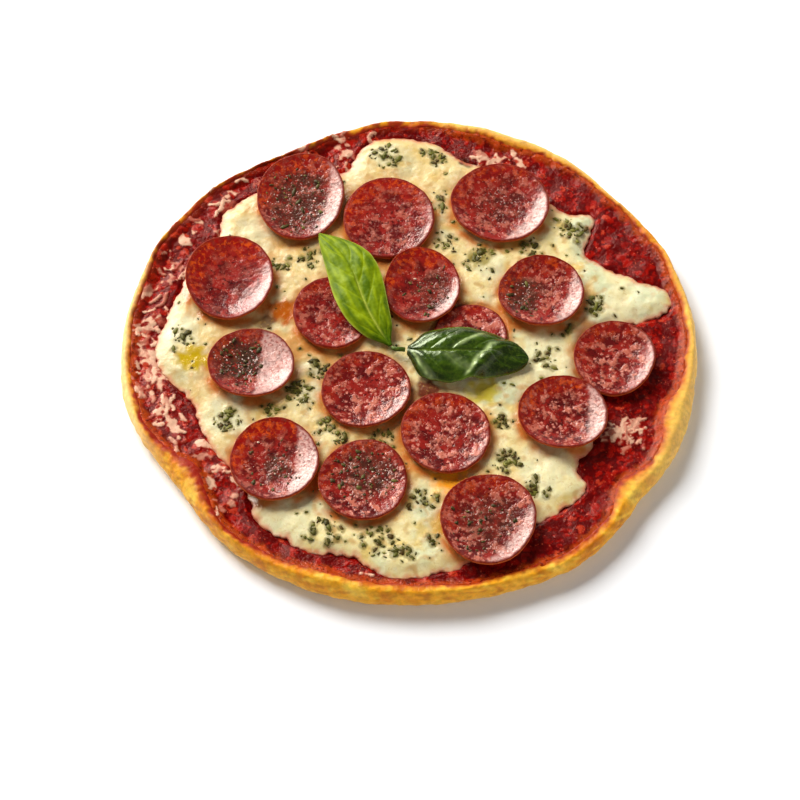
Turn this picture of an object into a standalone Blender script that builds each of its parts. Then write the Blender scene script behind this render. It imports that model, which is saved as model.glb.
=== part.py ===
"""A round pepperoni pizza, 27 cm across. A thin baked crust with a low rim holds chunky tomato sauce and an
uneven sheet of melted cheese. Cupped pepperoni slices, two basil leaves on a short stem and dried herb flakes
lie on top.

Sizes and places are in millimetres, and solid() turns them into metres. +Z is up, the flat underside is at
z = 0, the middle of the crust is the origin and -Y is the front. Angles go round from +X towards +Y.
"""

import math
import random

import bpy
from mathutils import Vector, noise
from mathutils.geometry import delaunay_2d_cdt

MM = 0.001
GAP = 0.3

# Layers, as heights above the table
FLOOR_Z = 7.0
RIM_WALL_Z = 10.5
RIM_TOP_Z = 12.3
SAUCE_BED_Z = 9.0
SAUCE_Z = 10.3
CHEESE_Z = 12.7
SLICE_SEAT_Z = 12.4

# Crust: outline, width of the bare rim, and its puffed places, each as (angle, change, spread)
CRUST_SECTORS = 96
CRUST_RADIUS = 134.6
CRUST_SHAPE = ((40, -3.0, 9), (118, -6.0, 18), (190, 1.4, 12), (214, -5.6, 12), (302, 2.4, 10),
               (322, -2.2, 8))
LIP_WIDTH = 6.0
LIP_LEAST = 2.4
LIP_SHAPE = ((42, -2.4, 12), (68, 3.0, 10), (128, -3.6, 30), (216, 6.0, 8), (258, 3.0, 12), (322, 5.0, 6),
             (341, 8.0, 8))
PUFF_SHAPE = ((68, 0.8, 12), (165, 0.7, 14), (216, 1.5, 9), (258, 0.7, 14), (300, -0.9, 12), (341, 1.8, 9))

# Small unevenness round the crust, each as (change, waves, layer of the noise)
RADIUS_RIPPLE = (0.9, 4.0, 1.7)
LIP_RIPPLE = (2.2, 7.0, 4.1)
PUFF_RIPPLE = (1.3, 5.0, 8.3)

# The crust's outer side, as (distance out from its edge, height), and its top's places in shares of the rim
CRUST_SIDE = ((-7.0, 0.0), (-3.0, 0.9), (-0.8, 3.2), (0.0, 6.0), (-0.5, 8.8))
TOP_OUTER_SHARE = 0.35
TOP_INNER_SHARE = 0.25
TOP_INNER_DROP = 0.3

# Sauce: size of its lumps, and the spacing of its surface points in the open and under the cheese
SAUCE_LUMP = 9.0
SAUCE_RELIEF = 1.1
SAUCE_FOOT = 0.8
SAUCE_RISE = 3.0
SAUCE_STEP = 6.6
COVERED_STEP = 19.0
SAUCE_NOISE_LAYER = 2.2

# Cheese: points of its outline, clockwise from the back left, smoothed into one closed curve
CHEESE_OUTLINE = (
    (-17, 122), (-2, 123), (13, 119), (26, 109), (44, 102), (62, 88), (74, 78), (88, 75), (87, 63), (84, 52),
    (93, 45), (109, 37), (122, 31), (122, 19), (107, 13), (91, 11), (79, 7), (74, -6), (76, -28), (82, -52),
    (76, -66), (79, -79), (60, -94), (40, -105), (19, -119), (-8, -123), (-27, -113), (-48, -109), (-70, -94),
    (-75, -76), (-92, -53), (-101, -31), (-115, -15), (-119, -1), (-113, 20), (-104, 44), (-92, 62),
    (-90, 76), (-76, 88), (-52, 98), (-31, 103), (-25, 114),
)
CHEESE_EDGE_Z = 10.4
CHEESE_EDGE_WIDTH = 6.0
CHEESE_RELIEF = 0.9
CHEESE_WAVE = 21.0
CHEESE_NOISE_LAYER = 5.5
CHEESE_STEP = 6.7
CHEESE_SHOULDER = 2.0
CHEESE_EDGE_DIP = 0.4
OUTLINE_STEP = 6.6
CURVE_STEPS = 8

# Surface points: how far each is moved, and how clear it stays of an outline, in shares of their spacing
JITTER_SHARE = 0.22
CLEAR_SHARE = 0.5

# Settings of the triangulation: keep what lies inside the outline, and merge points this close
INSIDE_ONLY = 1
MERGE_WITHIN = 1e-6

# Room left under a slice where it presses into what it lies on
PRESS_GAP = 0.6

# Pepperoni: x, y, width, depth, rise of the curled rim, rise of the back edge and of the right edge over the
# middle, and drop below the usual seat
SLICE_THICKNESS = 2.3
SLICE_SECTORS = 18
BOWL_POWER = 2.1
SLICES = (
    (-52.6, 81.8, 42.0, 49.0, 4.4, 2.2, 0.4, 0.0),
    (-10.2, 70.2, 43.0, 47.0, 2.6, 1.4, 0.3, 0.0),
    (43.6, 78.4, 47.0, 46.0, 4.0, 0.6, 0.4, 0.0),
    (-85.1, 34.4, 42.0, 46.5, 4.4, 0.8, 0.2, 0.0),
    (5.7, 29.6, 36.5, 41.0, 4.2, 1.2, -0.3, 0.0),
    (61.9, 26.2, 40.4, 40.0, 4.4, 0.2, 0.0, 0.0),
    (-36.2, 15.2, 36.6, 41.0, 2.4, 0.4, -0.5, 0.0),
    (-73.7, -14.4, 40.0, 38.0, 4.8, 0.0, 0.2, 0.0),
    (28.4, 4.4, 35.0, 34.0, 1.5, -0.4, 0.5, 1.8),
    (94.8, -9.6, 38.4, 39.6, 3.4, 0.9, 0.9, 1.6),
    (-20.4, -27.8, 41.0, 41.4, 2.8, 0.3, 0.2, 0.0),
    (70.0, -41.4, 40.6, 40.2, 4.6, 0.0, -0.3, 0.0),
    (16.2, -51.2, 41.0, 42.8, 2.6, 0.4, 0.3, 0.0),
    (-61.6, -66.4, 41.0, 42.4, 4.4, 0.3, 0.6, 0.0),
    (-21.2, -76.2, 40.6, 41.6, 2.6, 0.2, -0.6, 0.0),
    (34.7, -96.8, 42.4, 46.0, 4.2, 1.0, 0.0, 0.4),
)

# Rings of a slice, from its underside over its edge to its top, as shares of its radius and thickness
SLICE_RINGS = ((0.5, 0.0), (0.95, 0.06), (1.0, 0.5), (0.96, 0.96), (0.55, 1.0))

# Unevenness of a slice's outline and of its curl, as (waves, turn for each next slice, share)
OUTLINE_WOBBLE = ((2, 1.3, 0.018), (3, 2.1, 0.012))
CURL_WOBBLE = ((2, 0.9, 0.14), (3, 1.7, 0.07))

# How far past its edge, in shares of its radius, a slice presses what it lies on
PRESS_REACH = 1.15

# Basil: base and tip of each leaf, widths, and heights of the midrib from base to tip
LEAF_THICKNESS = 0.8
LEAF_CELLS_LONG = 14
LEAF_CELLS_WIDE = 8
LEAF_A = {"base": (-9.0, -3.6), "tip": (-43.0, 58.6), "width": 26.5, "bow": (1.4, -2.3), "skew": 1.1,
          "blunt": 0.8, "spine": (16.6, 20.2, 22.2, 23.2, 23.0, 21.6, 19.4), "droop": (3.2, 0.6)}
LEAF_B = {"base": (-1.2, -6.0), "tip": (55.0, -11.6), "width": 30.0, "bow": (1.0, 1.2), "skew": 0.86,
          "blunt": 0.5, "spine": (16.6, 19.6, 21.6, 22.2, 20.2, 18.0, 16.6), "droop": (3.0, 5.2)}
LEAF_BASE_WIDTH = 2.0
LEAF_LEAST_WIDTH = 1.2
LEAF_START = 0.04
LEAF_TAPER = 0.1
LEAF_PUFF = 3.6
LEAF_RIPPLE = 0.5
LEAF_RIPPLE_WAVES = 9.5
LEAF_RIPPLE_SKEW = 2.0
STEM_POINTS = ((-8.2, -5.0, 16.5), (-6.8, -6.0, 17.0), (-4.8, -6.2, 17.1), (-2.4, -6.1, 16.6))
STEM_RADIUS = 1.1

# Herb flakes: their size, and where they fell, as (x, y, spread, how many)
FLAKE_SIZE = (0.9, 1.5)
FLAKE_THICKNESS = 1.0
FLAKE_SIDES = 5
FLAKE_SPACING = 2.5
FLAKE_LIFT = 0.15
FLAKE_SLICE_SHARE = 1.16
FLAKE_EDGE_DEPTH = 4.0
FLAKE_BOWL_SHARE = 0.78
FLAKE_BOWL_REACH = 0.4
FLAKE_LEAN = 0.2
FLAKE_UNEVEN = (0.75, 1.2)
MOST_TRIES = 400
CHEESE_HERBS = (
    (-12, 110, 7, 5), (11, 110, 6, 5), (13, 84, 6, 2), (16, 58, 6, 3), (33, 48, 8, 5), (55, 54, 8, 3),
    (77, 66, 7, 6), (87, 22, 5, 4), (-47, 49, 6, 4), (-61, 46, 5, 2), (-42, -14, 5, 4), (-51, -27, 7, 7),
    (-64, -37, 3, 2), (-38, -46, 5, 3), (-32, -53, 4, 2), (-13, -55, 7, 5), (-84, -42, 6, 6),
    (-36, -102, 8, 5), (-14, -106, 8, 6), (-3, -112, 5, 3), (6, -84, 7, 5), (10, -106, 5, 2),
    (43, -43, 4, 5), (43, -64, 6, 6), (56, -79, 6, 5), (64, -9, 6, 6), (75, 8, 2, 1), (-107, 2, 6, 3),
)
SLICE_HERBS = {1: 10, 5: 5, 6: 6, 8: 8, 14: 4, 15: 12, 16: 6}
SLICE_HERB_SHIFT = {1: (-3, -2), 5: (5, -2), 6: (-13, -1), 8: (-8, 2), 14: (2, -2), 15: (0, 5), 16: (0, -1)}
SEED = 7

COLOURS = {
    "crust": (0.62, 0.30, 0.07), "sauce": (0.22, 0.012, 0.006), "cheese": (0.78, 0.72, 0.48),
    "pepperoni": (0.30, 0.05, 0.035), "basil_light": (0.16, 0.25, 0.015), "basil_dark": (0.03, 0.075, 0.006),
    "herb": (0.045, 0.05, 0.015),
}
ROUGHNESS = {
    "crust": 0.75, "sauce": 0.3, "cheese": 0.4, "pepperoni": 0.35, "basil_light": 0.45, "basil_dark": 0.3,
    "herb": 0.8,
}


def clear_scene():
    for old in list(bpy.data.objects):
        bpy.data.objects.remove(old)


def material(name):
    """The Principled material of this name, made once."""
    made = bpy.data.materials.get(name)
    if made is None:
        made = bpy.data.materials.new(name)
        made.use_nodes = True
        shader = made.node_tree.nodes["Principled BSDF"]
        shader.inputs["Base Color"].default_value = (*COLOURS[name], 1.0)
        shader.inputs["Roughness"].default_value = ROUGHNESS[name]
        shader.inputs["Metallic"].default_value = 0.0
    return made


def solid(name, points, faces, look):
    """One object from points in millimetres and outward faces."""
    mesh = bpy.data.meshes.new(name)
    mesh.from_pydata([Vector(point) * MM for point in points], [], faces)
    mesh.materials.append(material(look))
    mesh.shade_smooth()
    made = bpy.data.objects.new(name, mesh)
    bpy.context.scene.collection.objects.link(made)
    return made


def bell(angle, centre, spread):
    """1 at the centre angle and 0 two spreads away from it, in degrees."""
    away = (angle - centre + 180) % 360 - 180
    return math.exp(-((away / spread) ** 2))


def shaped(angle, changes):
    return sum(change * bell(angle, centre, spread) for centre, change, spread in changes)


def ripple(angle, kind):
    """Unevenness that runs round the crust and meets itself."""
    change, waves, noise_layer = kind
    turn = math.radians(angle)
    return change * noise.noise(Vector((waves * math.cos(turn), waves * math.sin(turn), noise_layer)))


def rim_radius(angle):
    """The crust's outer edge."""
    return CRUST_RADIUS + shaped(angle, CRUST_SHAPE) + ripple(angle, RADIUS_RIPPLE)


def sauce_radius(angle):
    """The line where the bare rim meets the sauce."""
    lip = LIP_WIDTH + shaped(angle, LIP_SHAPE) + ripple(angle, LIP_RIPPLE)
    return rim_radius(angle) - max(LIP_LEAST, lip)


def rim_top(angle):
    return RIM_TOP_Z + shaped(angle, PUFF_SHAPE) + ripple(angle, PUFF_RIPPLE)


def crust_section(angle):
    """(radius, height) from the flat underside out, up and over the rim, and down to the dough's floor."""
    outer, inner, top = rim_radius(angle), sauce_radius(angle), rim_top(angle)
    lip = outer - inner
    side = [(outer + out, height) for out, height in CRUST_SIDE]
    return side + [
        (outer - TOP_OUTER_SHARE * lip, top),
        (inner + TOP_INNER_SHARE * lip, top - TOP_INNER_DROP),
        (inner, RIM_WALL_Z),
        (inner, FLOOR_Z),
    ]


def make_crust():
    angles = [360.0 * i / CRUST_SECTORS for i in range(CRUST_SECTORS)]
    sections = [crust_section(angle) for angle in angles]
    points = [
        (section[ring][0] * math.cos(math.radians(angle)), section[ring][0] * math.sin(math.radians(angle)),
         section[ring][1])
        for ring in range(len(sections[0]))
        for angle, section in zip(angles, sections)
    ]
    faces = ring_faces(len(sections[0]), CRUST_SECTORS)
    underside, floor = len(points), len(points) + 1
    points += [(0, 0, 0), (0, 0, FLOOR_Z)]
    last = (len(sections[0]) - 1) * CRUST_SECTORS
    for i in range(CRUST_SECTORS):
        after = (i + 1) % CRUST_SECTORS
        faces.append((underside, after, i))
        faces.append((floor, last + i, last + after))
    return solid("crust", points, faces, "crust")


def ring_faces(rings, sectors):
    """Quads between rings of points that go round in the same direction, each ring further out or up."""
    return [
        (ring * sectors + i, ring * sectors + (i + 1) % sectors,
         (ring + 1) * sectors + (i + 1) % sectors, (ring + 1) * sectors + i)
        for ring in range(rings - 1)
        for i in range(sectors)
    ]


def catmull_rom(a, b, c, d, t):
    """From b at t = 0 to c at t = 1, smooth past both."""
    return 0.5 * (2 * b + (c - a) * t + (2 * a - 5 * b + 4 * c - d) * t ** 2
                  + (3 * b - a - 3 * c + d) * t ** 3)


def smooth_outline(corners, step):
    """Evenly spaced points on a closed curve through the corners, counterclockwise."""
    corners = [Vector(corner) for corner in reversed(corners)]
    fine = []
    for i in range(len(corners)):
        around = [corners[(i + k) % len(corners)] for k in (-1, 0, 1, 2)]
        fine += [catmull_rom(*around, k / CURVE_STEPS) for k in range(CURVE_STEPS)]
    lengths = [(fine[(i + 1) % len(fine)] - fine[i]).length for i in range(len(fine))]
    count = round(sum(lengths) / step)
    spacing = sum(lengths) / count
    points, done = [], 0.0
    for start, end, length in zip(fine, fine[1:] + fine[:1], lengths):
        while len(points) < count and len(points) * spacing < done + length:
            points.append(start.lerp(end, (len(points) * spacing - done) / length))
        done += length
    return points


def shifted_outline(outline, distance):
    """The closed outline moved outwards, or inwards for a negative distance."""
    moved = []
    for i, point in enumerate(outline):
        along = (outline[(i + 1) % len(outline)] - outline[i - 1]).normalized()
        moved.append(point + distance * Vector((along.y, -along.x)))
    return moved


def depth_inside(point, outline):
    """Distance from the outline's edge, positive inside it and negative outside."""
    nearest, inside = math.inf, False
    for a, b in zip(outline, outline[1:] + outline[:1]):
        along = b - a
        share = max(0.0, min(1.0, (point - a).dot(along) / along.length_squared))
        nearest = min(nearest, (point - a - along * share).length)
        if (a.y > point.y) != (b.y > point.y) and point.x < a.x + along.x * (point.y - a.y) / along.y:
            inside = not inside
    return nearest if inside else -nearest


def spread_points(radius, step):
    """Points of a triangular grid within a radius, each moved a little so that no rows show."""
    points = []
    rows = int(radius / (step * math.sqrt(0.75))) + 1
    for row in range(-rows, rows + 1):
        for column in range(-rows, rows + 1):
            x = (column + 0.5 * (row % 2)) * step
            y = row * step * math.sqrt(0.75)
            x += JITTER_SHARE * step * noise.noise(Vector((x, y, 0.5)))
            y += JITTER_SHARE * step * noise.noise(Vector((x, y, 9.5)))
            if math.hypot(x, y) < radius:
                points.append(Vector((x, y)))
    return points


def loop_edges(first, count):
    return [(first + i, first + (i + 1) % count) for i in range(count)]


def layer(name, outline, loops, loose, top, bottom, look):
    """A flat-bottomed layer whose top has the height top(point) at its outline, inner loops and loose points."""
    flat, edges = list(outline), loop_edges(0, len(outline))
    for loop in loops:
        edges += loop_edges(len(flat), len(loop))
        flat += loop
    flat += loose
    placed, _, triangles, *_ = delaunay_2d_cdt(flat, edges, [], INSIDE_ONLY, MERGE_WITHIN)
    under, _, below, *_ = delaunay_2d_cdt(outline, loop_edges(0, len(outline)), [], INSIDE_ONLY, MERGE_WITHIN)
    points = [(point.x, point.y, top(point)) for point in placed]
    first = len(points)
    points += [(point.x, point.y, bottom) for point in under]
    faces = [tuple(triangle) for triangle in triangles]
    faces += [tuple(first + i for i in reversed(triangle)) for triangle in below]
    count = len(outline)
    for i in range(count):
        after = (i + 1) % count
        faces.append((first + i, first + after, after, i))
    return solid(name, points, faces, look)


def sauce_height(point, cheese):
    """Lumpy in the open, and a flat bed under the cheese."""
    away = -depth_inside(point, cheese)
    lump = noise.noise(Vector((point.x / SAUCE_LUMP, point.y / SAUCE_LUMP, SAUCE_NOISE_LAYER)))
    rise = max(0.0, min(1.0, (away - SAUCE_FOOT) / SAUCE_RISE))
    return SAUCE_BED_Z + rise * (SAUCE_Z - SAUCE_BED_Z + SAUCE_RELIEF * lump)


def make_sauce(cheese):
    angles = [360.0 * i / CRUST_SECTORS for i in range(CRUST_SECTORS)]
    rim = [
        (sauce_radius(angle) - GAP) * Vector((math.cos(math.radians(angle)), math.sin(math.radians(angle))))
        for angle in angles
    ]
    foot = shifted_outline(cheese, SAUCE_FOOT)
    loose = []
    for point in spread_points(CRUST_RADIUS, SAUCE_STEP):
        in_rim = depth_inside(point, rim) > CLEAR_SHARE * SAUCE_STEP
        if in_rim and depth_inside(point, foot) < -CLEAR_SHARE * SAUCE_STEP:
            loose.append(point)
    for point in spread_points(CRUST_RADIUS, COVERED_STEP):
        if depth_inside(point, foot) > CLEAR_SHARE * COVERED_STEP:
            loose.append(point)

    def top(point):
        height = sauce_height(point, cheese)
        return min([height] + [under - PRESS_GAP for under in undersides(point)])

    return layer("sauce", rim, [foot], loose, top, FLOOR_Z + GAP, "sauce")


def slice_share(number, point):
    """How far a point is from a slice's middle: 0 there and 1 at its edge."""
    x, y, width, depth = SLICES[number][:4]
    return math.hypot((point[0] - x) / (0.5 * width), (point[1] - y) / (0.5 * depth))


def wobble(number, turn, kind):
    """A factor near 1 that makes each slice uneven in its own way."""
    return 1.0 + sum(share * math.sin(waves * turn + shift * number) for waves, shift, share in kind)


def slice_underside(number, x, y, share, turn):
    """Height of a slice's underside: a shallow bowl, with one side of its rim higher than the other."""
    middle_x, middle_y, width, depth, curl, back_rise, right_rise, drop = SLICES[number]
    bowl = curl * wobble(number, turn, CURL_WOBBLE) * share ** BOWL_POWER
    tilt = back_rise * (y - middle_y) / (0.5 * depth) + right_rise * (x - middle_x) / (0.5 * width)
    return SLICE_SEAT_Z - drop + bowl + tilt


def undersides(point):
    """Heights of the slices over a point."""
    found = []
    for number, (x, y, *_) in enumerate(SLICES):
        share = slice_share(number, point)
        if share < PRESS_REACH:
            turn = math.atan2(point[1] - y, point[0] - x)
            found.append(slice_underside(number, point[0], point[1], share, turn))
    return found


def cheese_height(point, outline):
    """The melted surface: soft waves, rounded down at its edge, pressed in under each slice."""
    depth = depth_inside(point, outline)
    wave = noise.noise(Vector((point.x / CHEESE_WAVE, point.y / CHEESE_WAVE, CHEESE_NOISE_LAYER)))
    full = CHEESE_Z + CHEESE_RELIEF * wave
    share = max(0.0, min(1.0, depth / CHEESE_EDGE_WIDTH))
    height = CHEESE_EDGE_Z + (full - CHEESE_EDGE_Z) * math.sqrt(1.0 - (1.0 - share) ** 2)
    pressed = min([height] + [under - PRESS_GAP for under in undersides(point)])
    return max(CHEESE_EDGE_Z - CHEESE_EDGE_DIP, pressed)


def make_cheese(outline):
    shoulder = shifted_outline(outline, -CHEESE_SHOULDER)
    loose = [
        point for point in spread_points(CRUST_RADIUS, CHEESE_STEP)
        if depth_inside(point, shoulder) > CLEAR_SHARE * CHEESE_STEP
    ]
    return layer("cheese", outline, [shoulder], loose, lambda point: cheese_height(point, outline),
                 SAUCE_BED_Z + GAP, "cheese")


def make_slice(number):
    """A thin disc curled up at its rim, with a rounded edge."""
    x, y, width, depth = SLICES[number][:4]
    points = []
    for share, lift in SLICE_RINGS:
        for i in range(SLICE_SECTORS):
            turn = 2 * math.pi * i / SLICE_SECTORS
            reach = share * wobble(number, turn, OUTLINE_WOBBLE)
            at_x = x + 0.5 * width * reach * math.cos(turn)
            at_y = y + 0.5 * depth * reach * math.sin(turn)
            under = slice_underside(number, at_x, at_y, share, turn)
            points.append((at_x, at_y, under + lift * SLICE_THICKNESS))
    faces = ring_faces(len(SLICE_RINGS), SLICE_SECTORS)
    lowest = slice_underside(number, x, y, 0.0, 0.0)
    below, above = len(points), len(points) + 1
    points += [(x, y, lowest), (x, y, lowest + SLICE_THICKNESS)]
    last = (len(SLICE_RINGS) - 1) * SLICE_SECTORS
    for i in range(SLICE_SECTORS):
        after = (i + 1) % SLICE_SECTORS
        faces.append((below, after, i))
        faces.append((above, last + i, last + after))
    return solid(f"pepperoni_{number + 1:02d}", points, faces, "pepperoni")


def along_heights(heights, share):
    """A smooth curve through evenly spaced heights."""
    place = share * (len(heights) - 1)
    i = min(int(place), len(heights) - 2)
    around = [heights[max(0, min(i + k, len(heights) - 1))] for k in (-1, 0, 1, 2)]
    return catmull_rom(*around, place - i)


def leaf_point(leaf, along, across):
    """A point of the leaf's sheet: along goes from 0 at the base to 1 at the tip, across from -1 to 1."""
    base, tip = Vector(leaf["base"]), Vector(leaf["tip"])
    axis = tip - base
    side = Vector((axis.y, -axis.x)).normalized()
    started = LEAF_START + (1 - LEAF_START) * along
    shape = max(0.0, math.sin(math.pi * started ** leaf["skew"])) ** leaf["blunt"]
    full = leaf["width"] * shape * (1 - LEAF_TAPER * along)
    wide = max(LEAF_LEAST_WIDTH, LEAF_BASE_WIDTH * (1 - along), full)
    half = 0.5 * wide
    bow = leaf["bow"][0] * math.sin(math.pi * along) + leaf["bow"][1] * math.sin(2 * math.pi * along)
    place = base + axis * along + side * (half * across + bow)
    off = abs(across)
    droop = leaf["droop"][1 if across > 0 else 0] * wide / leaf["width"]
    puff = LEAF_PUFF * off * (1 - off) * shape
    wave = LEAF_RIPPLE * off * math.sin(LEAF_RIPPLE_WAVES * along + LEAF_RIPPLE_SKEW * across) * shape
    return place.x, place.y, along_heights(leaf["spine"], along) - droop * across ** 2 + puff + wave


def make_leaf(name, leaf, look):
    """A thin wavy sheet of triangles, thickened evenly."""
    wide = LEAF_CELLS_WIDE + 1
    points = [
        leaf_point(leaf, i / LEAF_CELLS_LONG, -1 + 2 * j / LEAF_CELLS_WIDE)
        for i in range(LEAF_CELLS_LONG + 1)
        for j in range(wide)
    ]
    faces = []
    for i in range(LEAF_CELLS_LONG):
        for j in range(LEAF_CELLS_WIDE):
            a = i * wide + j
            faces += [(a, a + 1, a + wide + 1), (a, a + wide + 1, a + wide)]
    made = solid(name, points, faces, look)
    thick = made.modifiers.new("thickness", "SOLIDIFY")
    thick.thickness = LEAF_THICKNESS * MM
    thick.offset = 0.0
    return made


def make_stem():
    """The short stalk that carries both leaves, a tube with filled ends."""
    curve = bpy.data.curves.new("basil_stem", "CURVE")
    curve.dimensions = "3D"
    curve.bevel_depth = STEM_RADIUS * MM
    curve.bevel_resolution = 1
    curve.resolution_u = 3
    curve.use_fill_caps = True
    spline = curve.splines.new("BEZIER")
    spline.bezier_points.add(len(STEM_POINTS) - 1)
    for knot, place in zip(spline.bezier_points, STEM_POINTS):
        knot.co = Vector(place) * MM
        knot.handle_left_type = knot.handle_right_type = "AUTO"
    curve.materials.append(material("basil_dark"))
    made = bpy.data.objects.new("basil_stem", curve)
    bpy.context.scene.collection.objects.link(made)
    return made


def make_flake(place, group, draw):
    """A small uneven chip, half sunk in what it lies on."""
    size = draw.uniform(*FLAKE_SIZE)
    spin = draw.uniform(0, 2 * math.pi)
    lean = Vector((draw.uniform(-FLAKE_LEAN, FLAKE_LEAN), draw.uniform(-FLAKE_LEAN, FLAKE_LEAN)))
    sides = []
    for i in range(FLAKE_SIDES):
        turn = spin + 2 * math.pi * i / FLAKE_SIDES
        reach = size * draw.uniform(*FLAKE_UNEVEN)
        sides.append(Vector((reach * math.cos(turn), reach * math.sin(turn))))
    points = []
    for lift in (-0.5, 0.5):
        for side in sides:
            points.append((place[0] + side.x, place[1] + side.y,
                           place[2] + lift * FLAKE_THICKNESS + side.dot(lean)))
    faces = [tuple(range(FLAKE_SIDES))[::-1], tuple(range(FLAKE_SIDES, 2 * FLAKE_SIDES))]
    faces += ring_faces(2, FLAKE_SIDES)
    flake = solid("flake", points, faces, "herb")
    group.objects.link(flake)
    return flake


def fuse(carrier, places, draw):
    """Makes a flake at each place and joins them all to the carrier."""
    group = bpy.data.collections.new("flakes")
    bpy.context.scene.collection.children.link(group)
    flakes = [make_flake(place, group, draw) for place in places]
    join = carrier.modifiers.new("join", "BOOLEAN")
    join.operation = "UNION"
    join.operand_type = "COLLECTION"
    join.collection = group
    join.material_mode = "TRANSFER"
    with bpy.context.temp_override(object=carrier):
        bpy.ops.object.modifier_apply(modifier="join")
    for flake in flakes:
        bpy.data.objects.remove(flake)
    bpy.data.collections.remove(group)


def far_from(places, point):
    return all(math.hypot(point[0] - x, point[1] - y) > FLAKE_SPACING for x, y, _ in places)


def cheese_flake_places(outline, draw):
    """Flakes in loose clusters, on open cheese only."""
    places = []
    for x, y, spread, count in CHEESE_HERBS:
        found = 0
        for _ in range(MOST_TRIES):
            reach, turn = spread * math.sqrt(draw.random()), draw.uniform(0, 2 * math.pi)
            point = Vector((x + reach * math.cos(turn), y + reach * math.sin(turn)))
            clear = min(slice_share(number, point) for number in range(len(SLICES))) > FLAKE_SLICE_SHARE
            if clear and depth_inside(point, outline) > FLAKE_EDGE_DEPTH and far_from(places, point):
                places.append((point.x, point.y, cheese_height(point, outline) + FLAKE_LIFT))
                found += 1
            if found == count:
                break
    return places


def slice_flake_places(number, draw):
    """Flakes in the bowl of one slice."""
    x, y, width, depth = SLICES[number][:4]
    shift = SLICE_HERB_SHIFT[number + 1]
    places = []
    for _ in range(MOST_TRIES):
        reach, turn = FLAKE_BOWL_REACH * math.sqrt(draw.random()), draw.uniform(0, 2 * math.pi)
        point = (x + shift[0] + reach * width * math.cos(turn), y + shift[1] + reach * depth * math.sin(turn))
        share = slice_share(number, point)
        if share < FLAKE_BOWL_SHARE and far_from(places, point):
            under = slice_underside(number, point[0], point[1], share, math.atan2(point[1] - y, point[0] - x))
            places.append((point[0], point[1], under + SLICE_THICKNESS + FLAKE_LIFT))
        if len(places) == SLICE_HERBS[number + 1]:
            break
    return places


def main():
    clear_scene()
    draw = random.Random(SEED)
    outline = smooth_outline(CHEESE_OUTLINE, OUTLINE_STEP)
    make_crust()
    make_sauce(outline)
    cheese = make_cheese(outline)
    fuse(cheese, cheese_flake_places(outline, draw), draw)
    for number in range(len(SLICES)):
        made = make_slice(number)
        if number + 1 in SLICE_HERBS:
            fuse(made, slice_flake_places(number, draw), draw)
    make_leaf("basil_leaf_a", LEAF_A, "basil_light")
    make_leaf("basil_leaf_b", LEAF_B, "basil_dark")
    make_stem()


main()
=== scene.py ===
"""Looks of a round pepperoni pizza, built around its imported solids.

Sizes and places are in millimetres, with the origin under the middle of the crust, and add_piece() turns them
into metres. Angles go round from +X towards +Y, in degrees. Each piece repeats the form of the solid that it
replaces, from the same named sizes, and adds the fine surface: baked dough, chunky sauce, melted cheese,
marbled sausage, veined leaves and dried herbs.
"""

import math

import bpy
import numpy as np
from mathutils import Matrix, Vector, noise
from mathutils.geometry import delaunay_2d_cdt


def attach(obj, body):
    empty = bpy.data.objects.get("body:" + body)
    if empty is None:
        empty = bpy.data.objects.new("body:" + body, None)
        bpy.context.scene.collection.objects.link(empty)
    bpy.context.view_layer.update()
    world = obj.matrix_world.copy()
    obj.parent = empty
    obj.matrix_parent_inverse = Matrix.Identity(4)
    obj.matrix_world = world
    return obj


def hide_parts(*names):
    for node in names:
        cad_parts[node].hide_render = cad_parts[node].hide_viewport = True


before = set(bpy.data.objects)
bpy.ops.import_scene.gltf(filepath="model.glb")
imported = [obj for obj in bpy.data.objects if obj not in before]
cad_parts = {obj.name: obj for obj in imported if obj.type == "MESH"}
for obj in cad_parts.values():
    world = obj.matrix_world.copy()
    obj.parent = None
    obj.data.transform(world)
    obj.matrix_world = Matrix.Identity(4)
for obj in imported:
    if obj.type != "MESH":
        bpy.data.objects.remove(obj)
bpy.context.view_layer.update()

MM = 0.001
SEED = 11

# Camera: where it stands and what it aims at
CAMERA_ELEVATION = 57.43
CAMERA_DISTANCE = 1233.4
CAMERA_AIM = (-4.63, -28.43, 8.0)
CAMERA_LENS = 120.0
CAMERA_SENSOR = 36.0

# Floor: half its width and its height, in metres
FLOOR_SIZE = (3.0, -0.0002)

# Soft boxes, in metres and watts: direction, distance, width and depth, power, and what they leave out
LIGHTS = {"key": ((-0.5, 0.62, 0.75), 2.6, (1.6, 1.4), 112.0, "glossy"),
          "shine": ((-0.58, 0.68, 0.42), 2.6, (2.2, 1.2), 108.0, "diffuse"),
          "fill": ((0.3, -0.75, 0.62), 2.4, (1.8, 1.2), 7.0, "glossy"),
          "bounce": ((0.9, -0.3, 0.4), 2.4, (1.6, 1.2), 9.0, "glossy")}

# Layers, as heights above the underside
FLOOR_Z = 7.0
RIM_WALL_Z = 10.5
RIM_TOP_Z = 12.3
SAUCE_BED_Z = 9.0
SAUCE_Z = 10.3
CHEESE_Z = 12.7
SLICE_SEAT_Z = 12.4

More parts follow.
